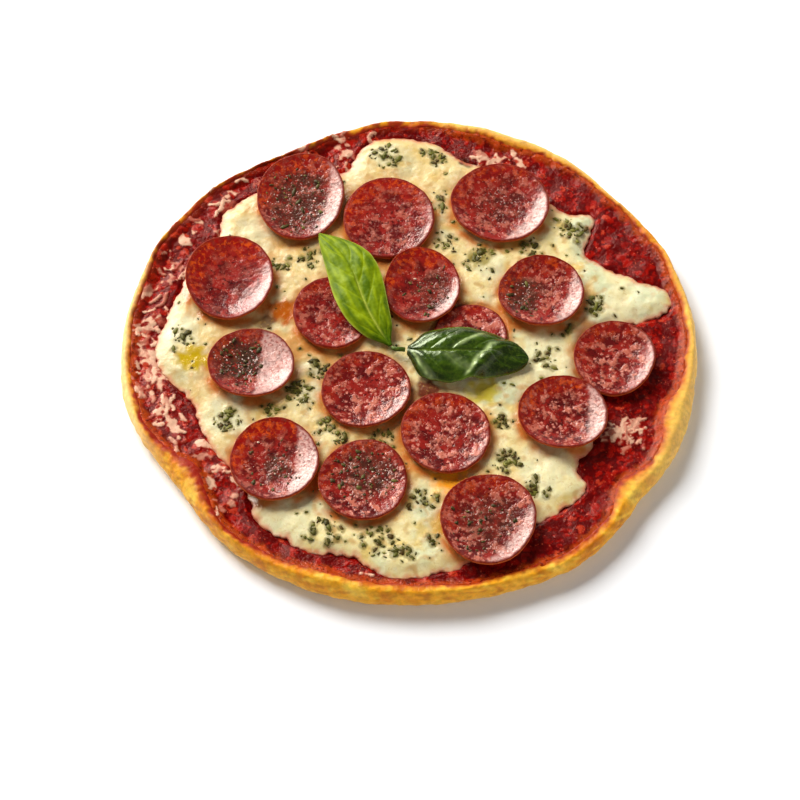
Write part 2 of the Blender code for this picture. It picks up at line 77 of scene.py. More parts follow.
# Crust: changes of its radius, of the bare rim's width and of the rim's height, as (angle, change, spread),
# their ripples, as (change, waves, noise layer), and points up its side, as (out, height). The shares place
# the rim's crest between its outer and its inner edge.
CRUST_RADIUS = 134.6
CRUST_SHAPE = ((40, -3.0, 9), (118, -6.0, 18), (190, 1.4, 12), (214, -5.6, 12), (302, 2.4, 10),
               (322, -2.2, 8))
LIP_WIDTH = 6.0
LIP_LEAST = 2.4
LIP_SHAPE = ((42, -2.4, 12), (68, 3.0, 10), (128, -3.6, 30), (216, 6.0, 8), (258, 3.0, 12), (322, 5.0, 6),
             (341, 8.0, 8))
PUFF_SHAPE = ((68, 0.8, 12), (165, 0.7, 14), (216, 1.5, 9), (258, 0.7, 14), (300, -0.9, 12), (341, 1.8, 9))
RADIUS_RIPPLE = (0.9, 4.0, 1.7)
LIP_RIPPLE = (2.2, 7.0, 4.1)
PUFF_RIPPLE = (1.3, 5.0, 8.3)
CRUST_SIDE = ((-7.0, 0.0), (-3.0, 0.9), (-0.8, 3.2), (0.0, 6.0), (-0.5, 8.8))
TOP_OUTER_SHARE = 0.35
TOP_INNER_SHARE = 0.25
TOP_INNER_DROP = 0.3

# Sauce: its lumps, the width over which it rises beside the cheese, how far in from its edge it climbs the
# rim's wall, how far under the rim's top that ends, and its reach under the bare rim as a share of its width
SAUCE_LUMP = 9.0
SAUCE_RELIEF = 1.1
SAUCE_RISE = 3.0
SAUCE_NOISE_LAYER = 2.2
SAUCE_CLIMB = 5.5
SAUCE_CLIMB_DROP = 0.9
SAUCE_UNDER_RIM = 0.3
PULP_LUMPS = 7500

# Where sauce and shreds smear over the rim: the angles where that starts, is full, fades and ends
RIM_SMEAR = (78, 92, 168, 182)

# Cheese: its outline, the width of its sloping edge, its waves, and its gap under the slices
CHEESE_OUTLINE = (
    (-17, 122), (-2, 123), (13, 119), (26, 109), (44, 102), (62, 88), (74, 78), (88, 75), (87, 63), (84, 52),
    (93, 45), (109, 37), (122, 31), (122, 19), (107, 13), (93, 9), (85, 4), (80, -6), (80, -28), (84, -52),
    (76, -66), (79, -79), (60, -94), (40, -105), (19, -119), (-8, -123), (-27, -113), (-48, -109), (-70, -94),
    (-75, -76), (-92, -53), (-101, -31), (-115, -15), (-119, -1), (-113, 20), (-104, 44), (-92, 62),
    (-90, 76), (-76, 88), (-52, 98), (-31, 103), (-25, 114),
)
CHEESE_EDGE_WIDTH = 6.0
CHEESE_RELIEF = 0.9
CHEESE_WAVE = 21.0
CHEESE_NOISE_LAYER = 5.5
CHEESE_GAP = 0.12

# Pepperoni: x, y, width, depth, rise of the curled rim, rise of the back edge and of the right edge over the
# middle, and drop below the usual seat
SLICE_THICKNESS = 2.3
BOWL_POWER = 2.9
SLICES = (
    (-52.6, 81.8, 42.0, 49.0, 4.4, 2.2, 0.4, 0.0),
    (-10.2, 70.2, 43.0, 47.0, 2.6, 1.4, 0.3, 0.0),
    (43.6, 78.4, 47.0, 46.0, 4.0, 0.6, 0.4, 0.0),
    (-85.1, 34.4, 42.0, 46.5, 4.4, 0.8, 0.2, 0.0),
    (5.7, 29.6, 36.5, 41.0, 4.2, 1.2, -0.3, 0.0),
    (61.9, 26.2, 40.4, 40.0, 4.4, 0.2, 0.0, 0.0),
    (-36.2, 15.2, 36.6, 41.0, 2.4, 0.4, -0.5, 0.0),
    (-73.7, -14.4, 40.0, 38.0, 4.8, 0.0, 0.2, 0.0),
    (28.4, 4.4, 35.0, 34.0, 1.5, -0.4, 0.5, 1.8),
    (94.8, -9.6, 38.4, 39.6, 3.4, 0.9, 0.9, 1.6),
    (-20.4, -27.8, 41.0, 41.4, 2.8, 0.3, 0.2, 0.0),
    (70.0, -41.4, 40.6, 40.2, 4.6, 0.0, -0.3, 0.0),
    (16.2, -51.2, 41.0, 42.8, 2.6, 0.4, 0.3, 0.0),
    (-61.6, -66.4, 41.0, 42.4, 4.4, 0.3, 0.6, 0.0),
    (-21.2, -76.2, 40.6, 41.6, 2.6, 0.2, -0.6, 0.0),
    (34.7, -96.8, 42.4, 46.0, 4.2, 1.0, 0.0, 0.4),
)
# How much painted glow (orange light through the thin curled rim, on the side towards the lights) and how
# much pale fat shows on each slice
SLICE_PAINTED_GLOW = (0.8, 0.8, 0.5, 1.0, 1.0, 0.6, 0.3, 0.4, 0.4, 0.4, 0.3, 0.8, 0.5, 1.0, 0.4, 0.5)
SLICE_FAT = (1.0, 0.75, 0.9, 0.3, 0.6, 1.15, 1.0, 0.8, 1.2, 1.3, 1.5, 1.4, 1.45, 0.8, 1.5, 1.45)
# The painted highlight on each slice's wall, a pale crescent: direction, width as a share of the slice,
# half-angle, strength
SLICE_PAINTED_HIGHLIGHTS = ((-12, 0.2, 66, 1.0), (-15, 0.1, 50, 0.4), (-35, 0.2, 55, 0.9), (-30, 0.13, 50, 0.9),
                (-40, 0.14, 60, 0.8), (-20, 0.22, 60, 0.8), (-40, 0.08, 40, 0.3), (-5, 0.41, 82, 1.0),
                (-30, 0.08, 40, 0.2), (-10, 0.12, 60, 0.5), (-40, 0.12, 50, 0.4), (-5, 0.22, 62, 1.0),
                (-40, 0.08, 40, 0.3), (-8, 0.27, 68, 1.0), (-50, 0.08, 40, 0.3), (-38, 0.2, 62, 0.9))
# Where herbs and pepper darken a slice, with painted sparkles among them, by slice number: x and y from its
# middle and reach, as shares of its half-width, and strength
SLICE_PEPPER = {1: (-0.1, 0.0, 0.95, 0.75), 5: (0.35, -0.1, 0.6, 0.5), 6: (-0.5, 0.0, 0.65, 0.8),
                8: (-0.3, 0.15, 0.75, 1.0), 14: (0.1, -0.1, 0.4, 0.8), 15: (0.1, 0.3, 0.8, 0.7),
                16: (0.0, 0.0, 0.7, 0.5), 3: (0.0, 0.0, 0.6, 0.35)}
OUTLINE_WOBBLE = ((2, 1.3, 0.018), (3, 2.1, 0.012))
CURL_WOBBLE = ((2, 0.9, 0.14), (3, 1.7, 0.07))

# Basil leaves. "bow" bends the midrib, "skew" and "blunt" shape the outline, "spine" has the midrib's heights
# from base to tip, and "droop" how far each side hangs. "folds" are creases, as (place, slant, width,
# height), and the glints are painted highlights in pale streaks, as (place, slant, width, start, end,
# strength), in the glint colour. The dark tip is painted shade past the big fold. "tones" are the plain,
# light, dark and rib colours.
LEAF_THICKNESS = 0.8
LEAF_A = {"base": (-9.0, -3.6), "tip": (-43.0, 58.6), "width": 26.5, "bow": (1.4, -2.3), "skew": 1.1,
          "blunt": 0.74, "spine": (16.3, 19.7, 21.5, 22.3, 22.1, 20.9, 19.0), "droop": (3.2, 0.6),
          "folds": ((0.55, 0.15, 0.1, 0.4), (0.3, -0.12, 0.08, 0.3)), "streaked": 0.7, "painted_shade_tip": 0.0,
          "painted_glints": ((0.45, -0.3, 0.05, -0.9, -0.3, 0.3), (0.6, 0.25, 0.04, 0.2, 0.8, 0.3)),
          "painted_glint_tone": (176, 194, 84), "tones": ((104, 124, 2), (144, 160, 6), (56, 86, 2), (196, 200, 84))}
LEAF_B = {"base": (-1.2, -6.0), "tip": (55.0, -11.6), "width": 30.0, "bow": (1.0, 1.2), "skew": 0.86,
          "blunt": 0.5, "spine": (16.6, 19.6, 21.6, 22.2, 20.2, 18.0, 16.6), "droop": (3.0, 5.2),
          "folds": ((0.72, -0.17, 0.07, 2.5), (0.05, 0.24, 0.05, 0.9), (0.46, -0.1, 0.08, -0.5),
                    (0.9, 0.05, 0.05, -0.4)), "streaked": 0.6, "painted_shade_tip": 0.65,
          "painted_glints": ((0.64, -0.15, 0.026, -0.4, 0.85, 0.9), (0.35, -0.32, 0.03, -0.8, -0.15, 0.7),
                     (-0.02, 0.23, 0.026, 0.3, 0.95, 0.75), (0.3, 0.3, 0.05, 0.1, 0.7, 0.25)),
          "painted_glint_tone": (184, 202, 132), "tones": ((36, 58, 2), (62, 88, 6), (16, 32, 2), (112, 134, 40))}
LEAF_BASE_WIDTH = 2.0
LEAF_LEAST_WIDTH = 1.2
LEAF_START = 0.04
LEAF_TAPER = 0.1
LEAF_PUFF = 3.6
LEAF_RIPPLE = 0.5
LEAF_RIPPLE_WAVES = 9.5
LEAF_RIPPLE_SKEW = 2.0
LEAF_VEINS = 5.6
LEAF_QUILT = 0.3
LEAF_STREAKS = 4.6

# Stem: points along its middle, and its radius
STEM_POINTS = ((-8.2, -5.0, 16.5), (-6.8, -6.0, 17.0), (-4.8, -6.2, 17.1), (-2.4, -6.1, 16.6))
STEM_RADIUS = 1.1

# Herb flakes: clusters on the cheese, as (x, y, spread, how many), how many lie on a slice and how far off
# its middle, by slice number, and how many strays are tried
CHEESE_HERBS = (
    (-12, 110, 7, 5), (11, 110, 6, 5), (13, 84, 6, 2), (16, 58, 6, 3), (33, 48, 8, 5), (55, 54, 8, 3),
    (77, 66, 7, 6), (87, 22, 5, 4), (-47, 49, 6, 4), (-61, 46, 5, 2), (-42, -14, 5, 4), (-51, -27, 7, 7),
    (-64, -37, 3, 2), (-38, -46, 5, 3), (-32, -53, 4, 2), (-13, -55, 7, 5), (-84, -42, 6, 6),
    (-36, -102, 8, 5), (-14, -106, 8, 6), (-3, -112, 5, 3), (6, -84, 7, 5), (10, -106, 5, 2),
    (43, -43, 4, 5), (43, -64, 6, 6), (56, -79, 6, 5), (64, -9, 5, 3), (75, 8, 2, 1), (-107, 2, 6, 3),
)
SLICE_HERBS = {1: 10, 5: 5, 6: 6, 8: 8, 14: 4, 15: 12, 16: 6}
SLICE_HERB_SHIFT = {1: (-3, -2), 5: (5, -2), 6: (-13, -1), 8: (-8, 2), 14: (2, -2), 15: (0, 5), 16: (0, -1)}
STRAY_HERBS = 520

# Colours of herb flakes on the cheese and the slices and of pale crumbs, and how often each colour comes
HERB_COLOURS = {"leaf": ((76, 70, 26), (98, 96, 34), (78, 52, 24), (130, 124, 54), (52, 44, 18)),
                "pepper": ((50, 32, 16), (70, 60, 24), (74, 38, 20), (104, 92, 40), (36, 24, 12)),
                "crumb": ((232, 196, 172), (214, 150, 130), (240, 214, 190), (200, 130, 110),
                          (226, 180, 150))}
HERB_SHARES = (0.4, 0.27, 0.15, 0.12, 0.06)

# Half-melted shreds on the sauce: where they gather, as (angle, spread in degrees, how many), single heaps,
# as (x, y, spread, how many), the share of those numbers that is laid, and the angles between which the
# shreds reach over the rim
SHRED_PLACES = ((100, 6, 16), (116, 8, 34), (134, 8, 24), (150, 8, 36), (168, 9, 44), (186, 9, 56),
                (202, 8, 44), (218, 8, 18), (67, 5, 14), (28, 14, 3), (300, 20, 3))
SHRED_HEAPS = ((99, -48, 6, 90), (36, 108, 3, 10), (43, 107, 5, 16), (50, 102, 4, 8), (-80, -84, 7, 8),
               (-122, 0, 5, 56), (-120, -16, 6, 56), (-114, -32, 5, 24), (-112, 44, 5, 16), (-54, 108, 6, 18),
               (-30, 116, 5, 10), (-123, 14, 4, 18))
SHRED_SHARE = 0.46
SHREDS_OVER_RIM = (85, 175)

# Oil and browned spots, as (x, y, width, colour, strength). The dark red spots at (8, -26) and (22, 18) are
# painted shade in gaps between slices, over sauce that shows there; the oil at (18, -73), (34, -26) and
# (-44, -75) is painted brighter than the oil itself, as painted light where shade falls.
OIL_AND_SHADE_SPOTS = ((-60, 18, 10, (176, 84, 4), 1.0), (-67, 12, 6, (84, 34, 8), 0.8),
              (18, -73, 11, (255, 164, 34), 1.0), (34, -26, 10, (212, 190, 50), 0.9),
              (33, 49, 8, (140, 122, 44), 0.8), (-101, -9, 10, (190, 156, 8), 1.0),
              (-44, -75, 8, (226, 100, 34), 0.95), (8, -26, 10, (96, 24, 12), 0.95),
              (22, 18, 9, (104, 26, 16), 0.9), (27.5, 108, 5, (60, 14, 6), 1.0),
              (-20, 40, 8, (190, 120, 40), 0.7), (84, 8, 8, (180, 104, 66), 0.6),
              (-62, 60, 9, (196, 140, 66), 0.6), (48, 58, 9, (186, 146, 66), 0.6),
              (-46, -58, 9, (170, 110, 50), 0.6), (-8, 6, 8, (190, 112, 50), 0.6),
              (-52, -4, 10, (190, 126, 56), 0.75), (14, -98, 8, (196, 150, 44), 0.7),
              (-30, 50, 8, (170, 120, 50), 0.7), (-14, -52, 9, (180, 130, 60), 0.5))

# Cheese that stayed pale, as (x, y, reach). At (62, -7) and (70, -16), right of leaf B's tip, the paler tone
# is painted light against the leaf's shadow.
PALE_AND_PAINTED_LIGHT_PLACES = ((62, -7, 16), (104, 24, 17), (86, 61, 11), (-84, -38, 13), (-56, -97, 15), (-107, 6, 11),
                (-70, 66, 13), (62, -68, 15), (-12, 110, 8), (38, 44, 9), (28, -20, 10), (70, -16, 9))

# Spacing of the surface's points in the open and under what covers them, and how the mesher treats them
FINE_STEP = 0.56
COVERED_STEP = 2.6
MERGE_WITHIN = 1e-6
INSIDE_ONLY = 1

# Relief maps: half their width, and the size of a cell
MAP_REACH = 142.0
MAP_CELL = 0.3


def srgb(red, green, blue):
    """A linear colour from 0 to 255 screen values."""
    share = np.array([red, green, blue]) / 255
    return np.where(share <= 0.04045, share / 12.92, ((share + 0.055) / 1.055) ** 2.4)


def smooth(low, high, value):
    """0 below low, 1 above high, smooth between."""
    t = np.clip((value - low) / (high - low), 0.0, 1.0)
    return t * t * (3 - 2 * t)


def tinted(tones, colour, share):
    """Tones moved towards a screen colour by a share for each point."""
    return tones + (srgb(*colour) - tones) * np.clip(share, 0.0, 1.0)[:, None]


def plain_tones(colour, count):
    """The same screen colour for each point."""
    return np.tile(srgb(*colour), (count, 1))


def lumps(x, y, size, layer):
    """Smooth noise from about -1 to 1 with lumps of this size. Each layer is a different pattern."""
    u, v = np.asarray(x) / size, np.asarray(y) / size
    column, row = np.floor(u).astype(np.int64), np.floor(v).astype(np.int64)
    u, v = u - column, v - row

    def corner(i, j):
        mixed = (column + i) * 374761393 + (row + j) * 668265263 + layer * 974634777
        mixed = ((mixed ^ (mixed >> 13)) * 1274126177) & 0x7FFFFFFF
        turn = (mixed ^ (mixed >> 16)) % 65536 * (2 * math.pi / 65536)
        return np.cos(turn) * (u - i) + np.sin(turn) * (v - j)

    ease_u, ease_v = u ** 3 * (u * (6 * u - 15) + 10), v ** 3 * (v * (6 * v - 15) + 10)
    low = corner(0, 0) * (1 - ease_u) + corner(1, 0) * ease_u
    high = corner(0, 1) * (1 - ease_u) + corner(1, 1) * ease_u
    return 1.5 * (low * (1 - ease_v) + high * ease_v)


def solid_noise(x, y, size, layer):
    """The noise that the solids' own waves come from."""
    return np.array([noise.noise((a / size, b / size, layer)) for a, b in zip(x.tolist(), y.tolist())])


def bell(angle, centre, spread):
    """1 at the centre, falling off on both sides."""
    away = (angle - centre + 180) % 360 - 180
    return math.exp(-((away / spread) ** 2))


def shaped(angle, changes):
    """The sum of the changes at an angle."""
    return sum(change * bell(angle, centre, spread) for centre, change, spread in changes)


def ripple(angle, kind):
    change, waves, noise_layer = kind
    turn = math.radians(angle)
    return change * noise.noise(Vector((waves * math.cos(turn), waves * math.sin(turn), noise_layer)))


def rim_radius(angle):
    return CRUST_RADIUS + shaped(angle, CRUST_SHAPE) + ripple(angle, RADIUS_RIPPLE)


def sauce_radius(angle):
    lip = LIP_WIDTH + shaped(angle, LIP_SHAPE) + ripple(angle, LIP_RIPPLE)
    return rim_radius(angle) - max(LIP_LEAST, lip)


def rim_top(angle):
    return RIM_TOP_Z + shaped(angle, PUFF_SHAPE) + ripple(angle, PUFF_RIPPLE)


def catmull_rom(a, b, c, d, t):
    return 0.5 * (2 * b + (c - a) * t + (2 * a - 5 * b + 4 * c - d) * t ** 2
                  + (3 * b - a - 3 * c + d) * t ** 3)


def span(knots, i):
    """The four knots round a span of an open curve, with its ends repeated."""
    return [knots[min(max(i + k, 0), len(knots) - 1)] for k in (-1, 0, 1, 2)]


def closed_curve(corners, step):
    """Evenly spaced points on a smooth closed curve through the corners, counterclockwise."""
    corners = np.array(corners[::-1], float)
    parts = []
    for i in range(len(corners)):
        around = [corners[(i + k) % len(corners)] for k in (-1, 0, 1, 2)]
        parts += [catmull_rom(*around, t) for t in np.linspace(0, 1, 24, endpoint=False)]
    fine = np.array(parts + parts[:1])
    reach = np.concatenate([[0], np.cumsum(np.hypot(*np.diff(fine, axis=0).T))])
    places = np.linspace(0, reach[-1], round(reach[-1] / step), endpoint=False)
    return np.stack([np.interp(places, reach, fine[:, k]) for k in (0, 1)], axis=1)


def moved_out(outline, distance):
    """The closed outline moved outwards by a distance for each point."""
    along = np.roll(outline, -1, axis=0) - np.roll(outline, 1, axis=0)
    along /= np.hypot(*along.T)[:, None]
    return outline + np.stack([along[:, 1], -along[:, 0]], axis=1) * np.reshape(distance, (-1, 1))


def depth_inside(x, y, outline):
    """Distance from the outline's edge, positive inside it and negative outside."""
    nearest = np.full(x.shape, np.inf)
    inside = np.zeros(x.shape, bool)
    for a, b in zip(outline, np.roll(outline, -1, axis=0)):
        along = b - a
        share = np.clip(((x - a[0]) * along[0] + (y - a[1]) * along[1]) / (along @ along), 0, 1)
        nearest = np.minimum(nearest, np.hypot(x - a[0] - share * along[0], y - a[1] - share * along[1]))
        if a[1] != b[1]:
            crosses = (a[1] > y) != (b[1] > y)
            inside ^= crosses & (x < a[0] + along[0] * (y - a[1]) / along[1])
    return np.where(inside, nearest, -nearest)


def turn_of(x, y):
    """The angle of points round the middle, from 0 to 360."""
    return np.degrees(np.arctan2(y, x)) % 360


def inside_edge(x, y, angles, edge):
    """How far points are inside an edge that is given as a radius for each angle."""
    return np.interp(turn_of(x, y), angles, edge, period=360) - np.hypot(x, y)


def in_band(angles, band):
    """1 within a band of angles, given as (start, full, fade, end), and 0 away from it."""
    start, full, fade, end = band
    return smooth(start, full, angles) * smooth(end, fade, angles)


def wobble(number, turn, kind):
    return 1.0 + sum(share * np.sin(waves * turn + shift * number) for waves, shift, share in kind)


def slice_share(number, x, y):
    """How far points are from a slice's middle: 0 there and 1 at its edge."""
    middle_x, middle_y, width, depth = SLICES[number][:4]
    return np.hypot((x - middle_x) / (0.5 * width), (y - middle_y) / (0.5 * depth))


def slice_underside(number, x, y, share, turn):
    middle_x, middle_y, width, depth, curl, back_rise, right_rise, drop = SLICES[number]
    bowl = curl * wobble(number, turn, CURL_WOBBLE) * share ** BOWL_POWER
    tilt = back_rise * (y - middle_y) / (0.5 * depth) + right_rise * (x - middle_x) / (0.5 * width)
    return SLICE_SEAT_Z - drop + bowl + tilt


def around_slices(x, y):
    """Distance to the nearest slice's edge, negative under it, and the lowest underside over each point."""
    distance = np.full(x.shape, np.inf)
    height = np.full(x.shape, np.inf)
    for number, (middle_x, middle_y, width, depth, *_) in enumerate(SLICES):
        share = slice_share(number, x, y)
        turn = np.arctan2(y - middle_y, x - middle_x)
        distance = np.minimum(distance, (share - 1) * 0.25 * (width + depth))
        under = slice_underside(number, x, y, share, turn)
        height = np.where(share < 1.12, np.minimum(height, under), height)
    return distance, height


def spotted(tones, x, y):
    """Colours with the oil, browned and painted shade spots added, and how oily that makes each point."""
    oil = np.zeros(x.shape)
    for spot_x, spot_y, width, colour, strength in OIL_AND_SHADE_SPOTS:
        near = np.hypot(x - spot_x, y - spot_y) / width + 0.35 * lumps(x, y, 4.0, 17)
        share = smooth(1.0, 0.35, near) * strength
        tones = tinted(tones, colour, share)
        oil = np.maximum(oil, share)
    return tones, oil


def slice_glow(x, y):
    """How much the slices' oil reaches each point: most where several slices are near."""
    glow = np.zeros(x.shape)
    for number, (_, _, width, depth, *_) in enumerate(SLICES):
        away = (slice_share(number, x, y) - 1) * 0.25 * (width + depth)
        glow += np.exp(-np.clip(away, 0, None) / 5.0)
    return glow


class ReliefMap:
    """A square map of heights and tones over the whole pizza, on which small lumps are stamped."""

    def __init__(self):
        """Starts level and empty."""
        count = round(2 * MAP_REACH / MAP_CELL)
        self.ticks = (np.arange(count) + 0.5) * MAP_CELL - MAP_REACH
        self.height = np.zeros((count, count))
        self.tone = np.zeros((count, count))

    def stamp(self, x, y, half_long, half_wide, turn, height, tone):
        """A half-ellipsoid lump. Where lumps overlap, the higher one shows."""
        reach = max(half_long, half_wide)
        first_x, last_x = np.searchsorted(self.ticks, (x - reach, x + reach))
        first_y, last_y = np.searchsorted(self.ticks, (y - reach, y + reach))
        window = (slice(first_y, last_y), slice(first_x, last_x))
        away_x, away_y = np.meshgrid(self.ticks[first_x:last_x] - x, self.ticks[first_y:last_y] - y)
        along = (away_x * math.cos(turn) + away_y * math.sin(turn)) / half_long
        across = (away_y * math.cos(turn) - away_x * math.sin(turn)) / half_wide
        lump = height * np.sqrt(np.clip(1 - along ** 2 - across ** 2, 0, 1))
        higher = lump > self.height[window]
        self.height[window][higher] = lump[higher]
        self.tone[window][higher] = tone

    def sample(self, values, x, y):
        """The map's values at points, smooth between cells."""
        u = np.clip((x + MAP_REACH) / MAP_CELL - 0.5, 0, len(self.ticks) - 2)
        v = np.clip((y + MAP_REACH) / MAP_CELL - 0.5, 0, len(self.ticks) - 2)
        i, j = u.astype(int), v.astype(int)
        u, v = u - i, v - j
        low = values[j, i] * (1 - u) + values[j, i + 1] * u
        high = values[j + 1, i] * (1 - u) + values[j + 1, i + 1] * u
        return low * (1 - v) + high * v


def add_piece(name, points, faces, look, nodes, tones=None):
    """A piece from points in millimetres, with its material, replaced nodes and a colour per point."""
    mesh = bpy.data.meshes.new(name)
    mesh.from_pydata((np.asarray(points) * MM).tolist(), [], faces)
    mesh.materials.append(look)
    mesh.shade_smooth()
    if tones is not None:
        colours = np.concatenate([tones, np.ones((len(tones), 1))], axis=1)
        mesh.color_attributes.new("tone", "FLOAT_COLOR", "POINT").data.foreach_set("color", colours.ravel())
    made = bpy.data.objects.new(name, mesh)
    bpy.context.scene.collection.objects.link(made)
    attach(made, "root")
    if nodes:
        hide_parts(*nodes)
    return made


def set_values(piece, name, values):
    """A number for each point of a piece, for its material."""
    piece.data.attributes.new(name, "FLOAT", "POINT").data.foreach_set("value", values)


class Look:
    """A node material, made around one Principled shader."""

    def __init__(self, name, tint=(1.0, 1.0, 1.0), **settings):
        self.material = bpy.data.materials.new(name)
        self.material.use_nodes = True
        self.nodes = self.material.node_tree.nodes
        self.shader = self.nodes["Principled BSDF"]
        for socket, value in settings.items():
            self.shader.inputs[socket.replace("_", " ")].default_value = value
        self.shader.inputs["Specular Tint"].default_value = (*tint, 1.0)
        self.place = self.node("ShaderNodeTexCoord").outputs["Object"]

    def node(self, kind, **settings):
        made = self.nodes.new(kind)
        for setting, value in settings.items():
            setattr(made, setting, value)
        return made

    def link(self, source, target):
        self.material.node_tree.links.new(source, target)

    def attribute(self, name, output="Color"):
        return self.node("ShaderNodeAttribute", attribute_name=name).outputs[output]

    def noise(self, size, detail=3.0, rough=0.5, place=None, output="Fac"):
        """Noise whose lumps have this size in millimetres."""
        made = self.node("ShaderNodeTexNoise")
        made.inputs["Scale"].default_value = 1 / (size * MM)
        made.inputs["Detail"].default_value = detail
        made.inputs["Roughness"].default_value = rough
        self.link(place or self.place, made.inputs["Vector"])
        return made.outputs[output]

    def cells(self, size, place=None, output="Distance"):
        made = self.node("ShaderNodeTexVoronoi")
        made.inputs["Scale"].default_value = 1 / (size * MM)
        self.link(place or self.place, made.inputs["Vector"])
        return made.outputs[output]

    def between(self, value, low, high, out_low=0.0, out_high=1.0):
        """The value's place from low to high, moved to the out range, with a soft start and end."""
        made = self.node("ShaderNodeMapRange", interpolation_type="SMOOTHSTEP")
        self.link(value, made.inputs["Value"])
        limits = {"From Min": low, "From Max": high, "To Min": out_low, "To Max": out_high}
        for socket, number in limits.items():
            made.inputs[socket].default_value = number
        return made.outputs["Result"]

    def patches(self, grain, edge, share=(0.0, 1.0), place=None):
        """Soft patches: grain is the noise's (size, detail, roughness), and they start and fill at edge."""
        return self.between(self.noise(*grain, place=place), *edge, *share)

    def specks(self, size, edge, share, place=None):
        """A dot in each cell of this size."""
        return self.between(self.cells(size, place), *edge, share, 0.0)

    def maths(self, operation, first, second):
        made = self.node("ShaderNodeMath", operation=operation)
        for socket, value in zip(made.inputs, (first, second)):
            self.link(value, socket)
        return made.outputs["Value"]

    def times(self, first, second):
        return self.maths("MULTIPLY", first, second)

    def mix(self, share, first, second, blend_type="MIX"):
        """Two colours mixed, each a socket or a screen colour, by a socket or a number."""
        made = self.node("ShaderNodeMix", data_type="RGBA", blend_type=blend_type)
        for socket, value in ((made.inputs[0], share), (made.inputs[6], first), (made.inputs[7], second)):
            if isinstance(value, bpy.types.NodeSocket):
                self.link(value, socket)
            else:
                socket.default_value = value if isinstance(value, float) else (*srgb(*value), 1.0)
        return made.outputs[2]

    def shifted(self, size, distance):
        """The place moved about by noise, in millimetres."""
        off = self.node("ShaderNodeVectorMath", operation="MULTIPLY_ADD")
        self.link(self.noise(size, output="Color"), off.inputs[0])
        off.inputs[1].default_value = (2 * distance * MM,) * 3
        off.inputs[2].default_value = (-distance * MM,) * 3
        total = self.node("ShaderNodeVectorMath", operation="ADD")
        self.link(self.place, total.inputs[0])
        self.link(off.outputs[0], total.inputs[1])
        return total.outputs[0]

    def finish(self, colour, heights, rough=None):
        """Links the colour, bumps as (height, depth in millimetres) and, if given, the roughness."""
        self.link(colour, self.shader.inputs["Base Color"])
        if rough is not None:
            self.link(rough, self.shader.inputs["Roughness"])
        normal = None
        for height, depth in heights:
            bump = self.node("ShaderNodeBump")
            bump.inputs["Distance"].default_value = depth * MM
            self.link(height, bump.inputs["Height"])
            if normal is not None:
                self.link(normal, bump.inputs["Normal"])
            normal = bump.outputs["Normal"]
        self.link(normal, self.shader.inputs["Normal"])
        return self.material


def crust_look():
    look = Look("baked_crust", (1.0, 0.85, 0.6), Roughness=0.5, Specular_IOR_Level=0.35)
    mottle = look.patches((2.4, 4.0, 0.6), (0.3, 0.7), (0.84, 1.12))
    grey = look.node("ShaderNodeCombineColor")
    for socket in grey.inputs:
        look.link(mottle, socket)
    colour = look.mix(1.0, look.attribute("tone"), grey.outputs[0], "MULTIPLY")
    return look.finish(colour, ((look.noise(1.8, 5.0, 0.6), 0.5), (look.noise(0.5, 2.0), 0.12)))


def sauce_look():
    look = Look("tomato_sauce", (1.0, 0.5, 0.36), Roughness=0.26, Specular_IOR_Level=0.36)
    bare = look.between(look.attribute("milk", "Fac"), 0.0, 0.8, 1.0, 0.15)
    dark = look.times(look.patches((2.0, 4.0, 0.65), (0.5, 0.66), (0.0, 0.85)), bare)
    colour = look.mix(dark, look.attribute("tone"), (78, 0, 2))
    # Salmon specks in patches: painted glints on the wet sauce.
    speck = look.specks(1.7, (0.1, 0.3), 0.75, look.shifted(1.0, 0.8))
    colour = look.mix(look.times(speck, look.patches((5.0, 3.0), (0.5, 0.62))), colour, (226, 92, 60))
    return look.finish(colour, ((look.noise(1.5, 4.0, 0.65), 0.5), (look.noise(0.5, 2.0), 0.1)))


def cheese_look():
    look = Look("melted_cheese", (1.0, 0.93, 0.78), Specular_IOR_Level=0.6, Subsurface_Weight=0.18,
                Subsurface_Scale=0.002)
    look.shader.inputs["Subsurface Radius"].default_value = (1.0, 0.75, 0.4)
    oil = look.attribute("oil", "Fac")
    dry = look.between(oil, 0.0, 0.6, 1.0, 0.0)
    pale = look.times(look.patches((3.4, 4.0, 0.6), (0.48, 0.68), (0.0, 0.3)), dry)
    colour = look.mix(pale, look.attribute("tone"), (248, 243, 206))
    fleck = look.patches((1.7, 4.0, 0.65), (0.54, 0.7), (0.0, 0.42), look.shifted(4.0, 2.0))
    colour = look.mix(fleck, colour, (196, 158, 82))
    rough = look.between(oil, 0.0, 1.0, 0.4, 0.2)
    heights = ((look.noise(2.8, 4.0, 0.55), 0.3), (look.noise(0.8, 3.0, 0.6), 0.07))
    return look.finish(colour, heights, rough)


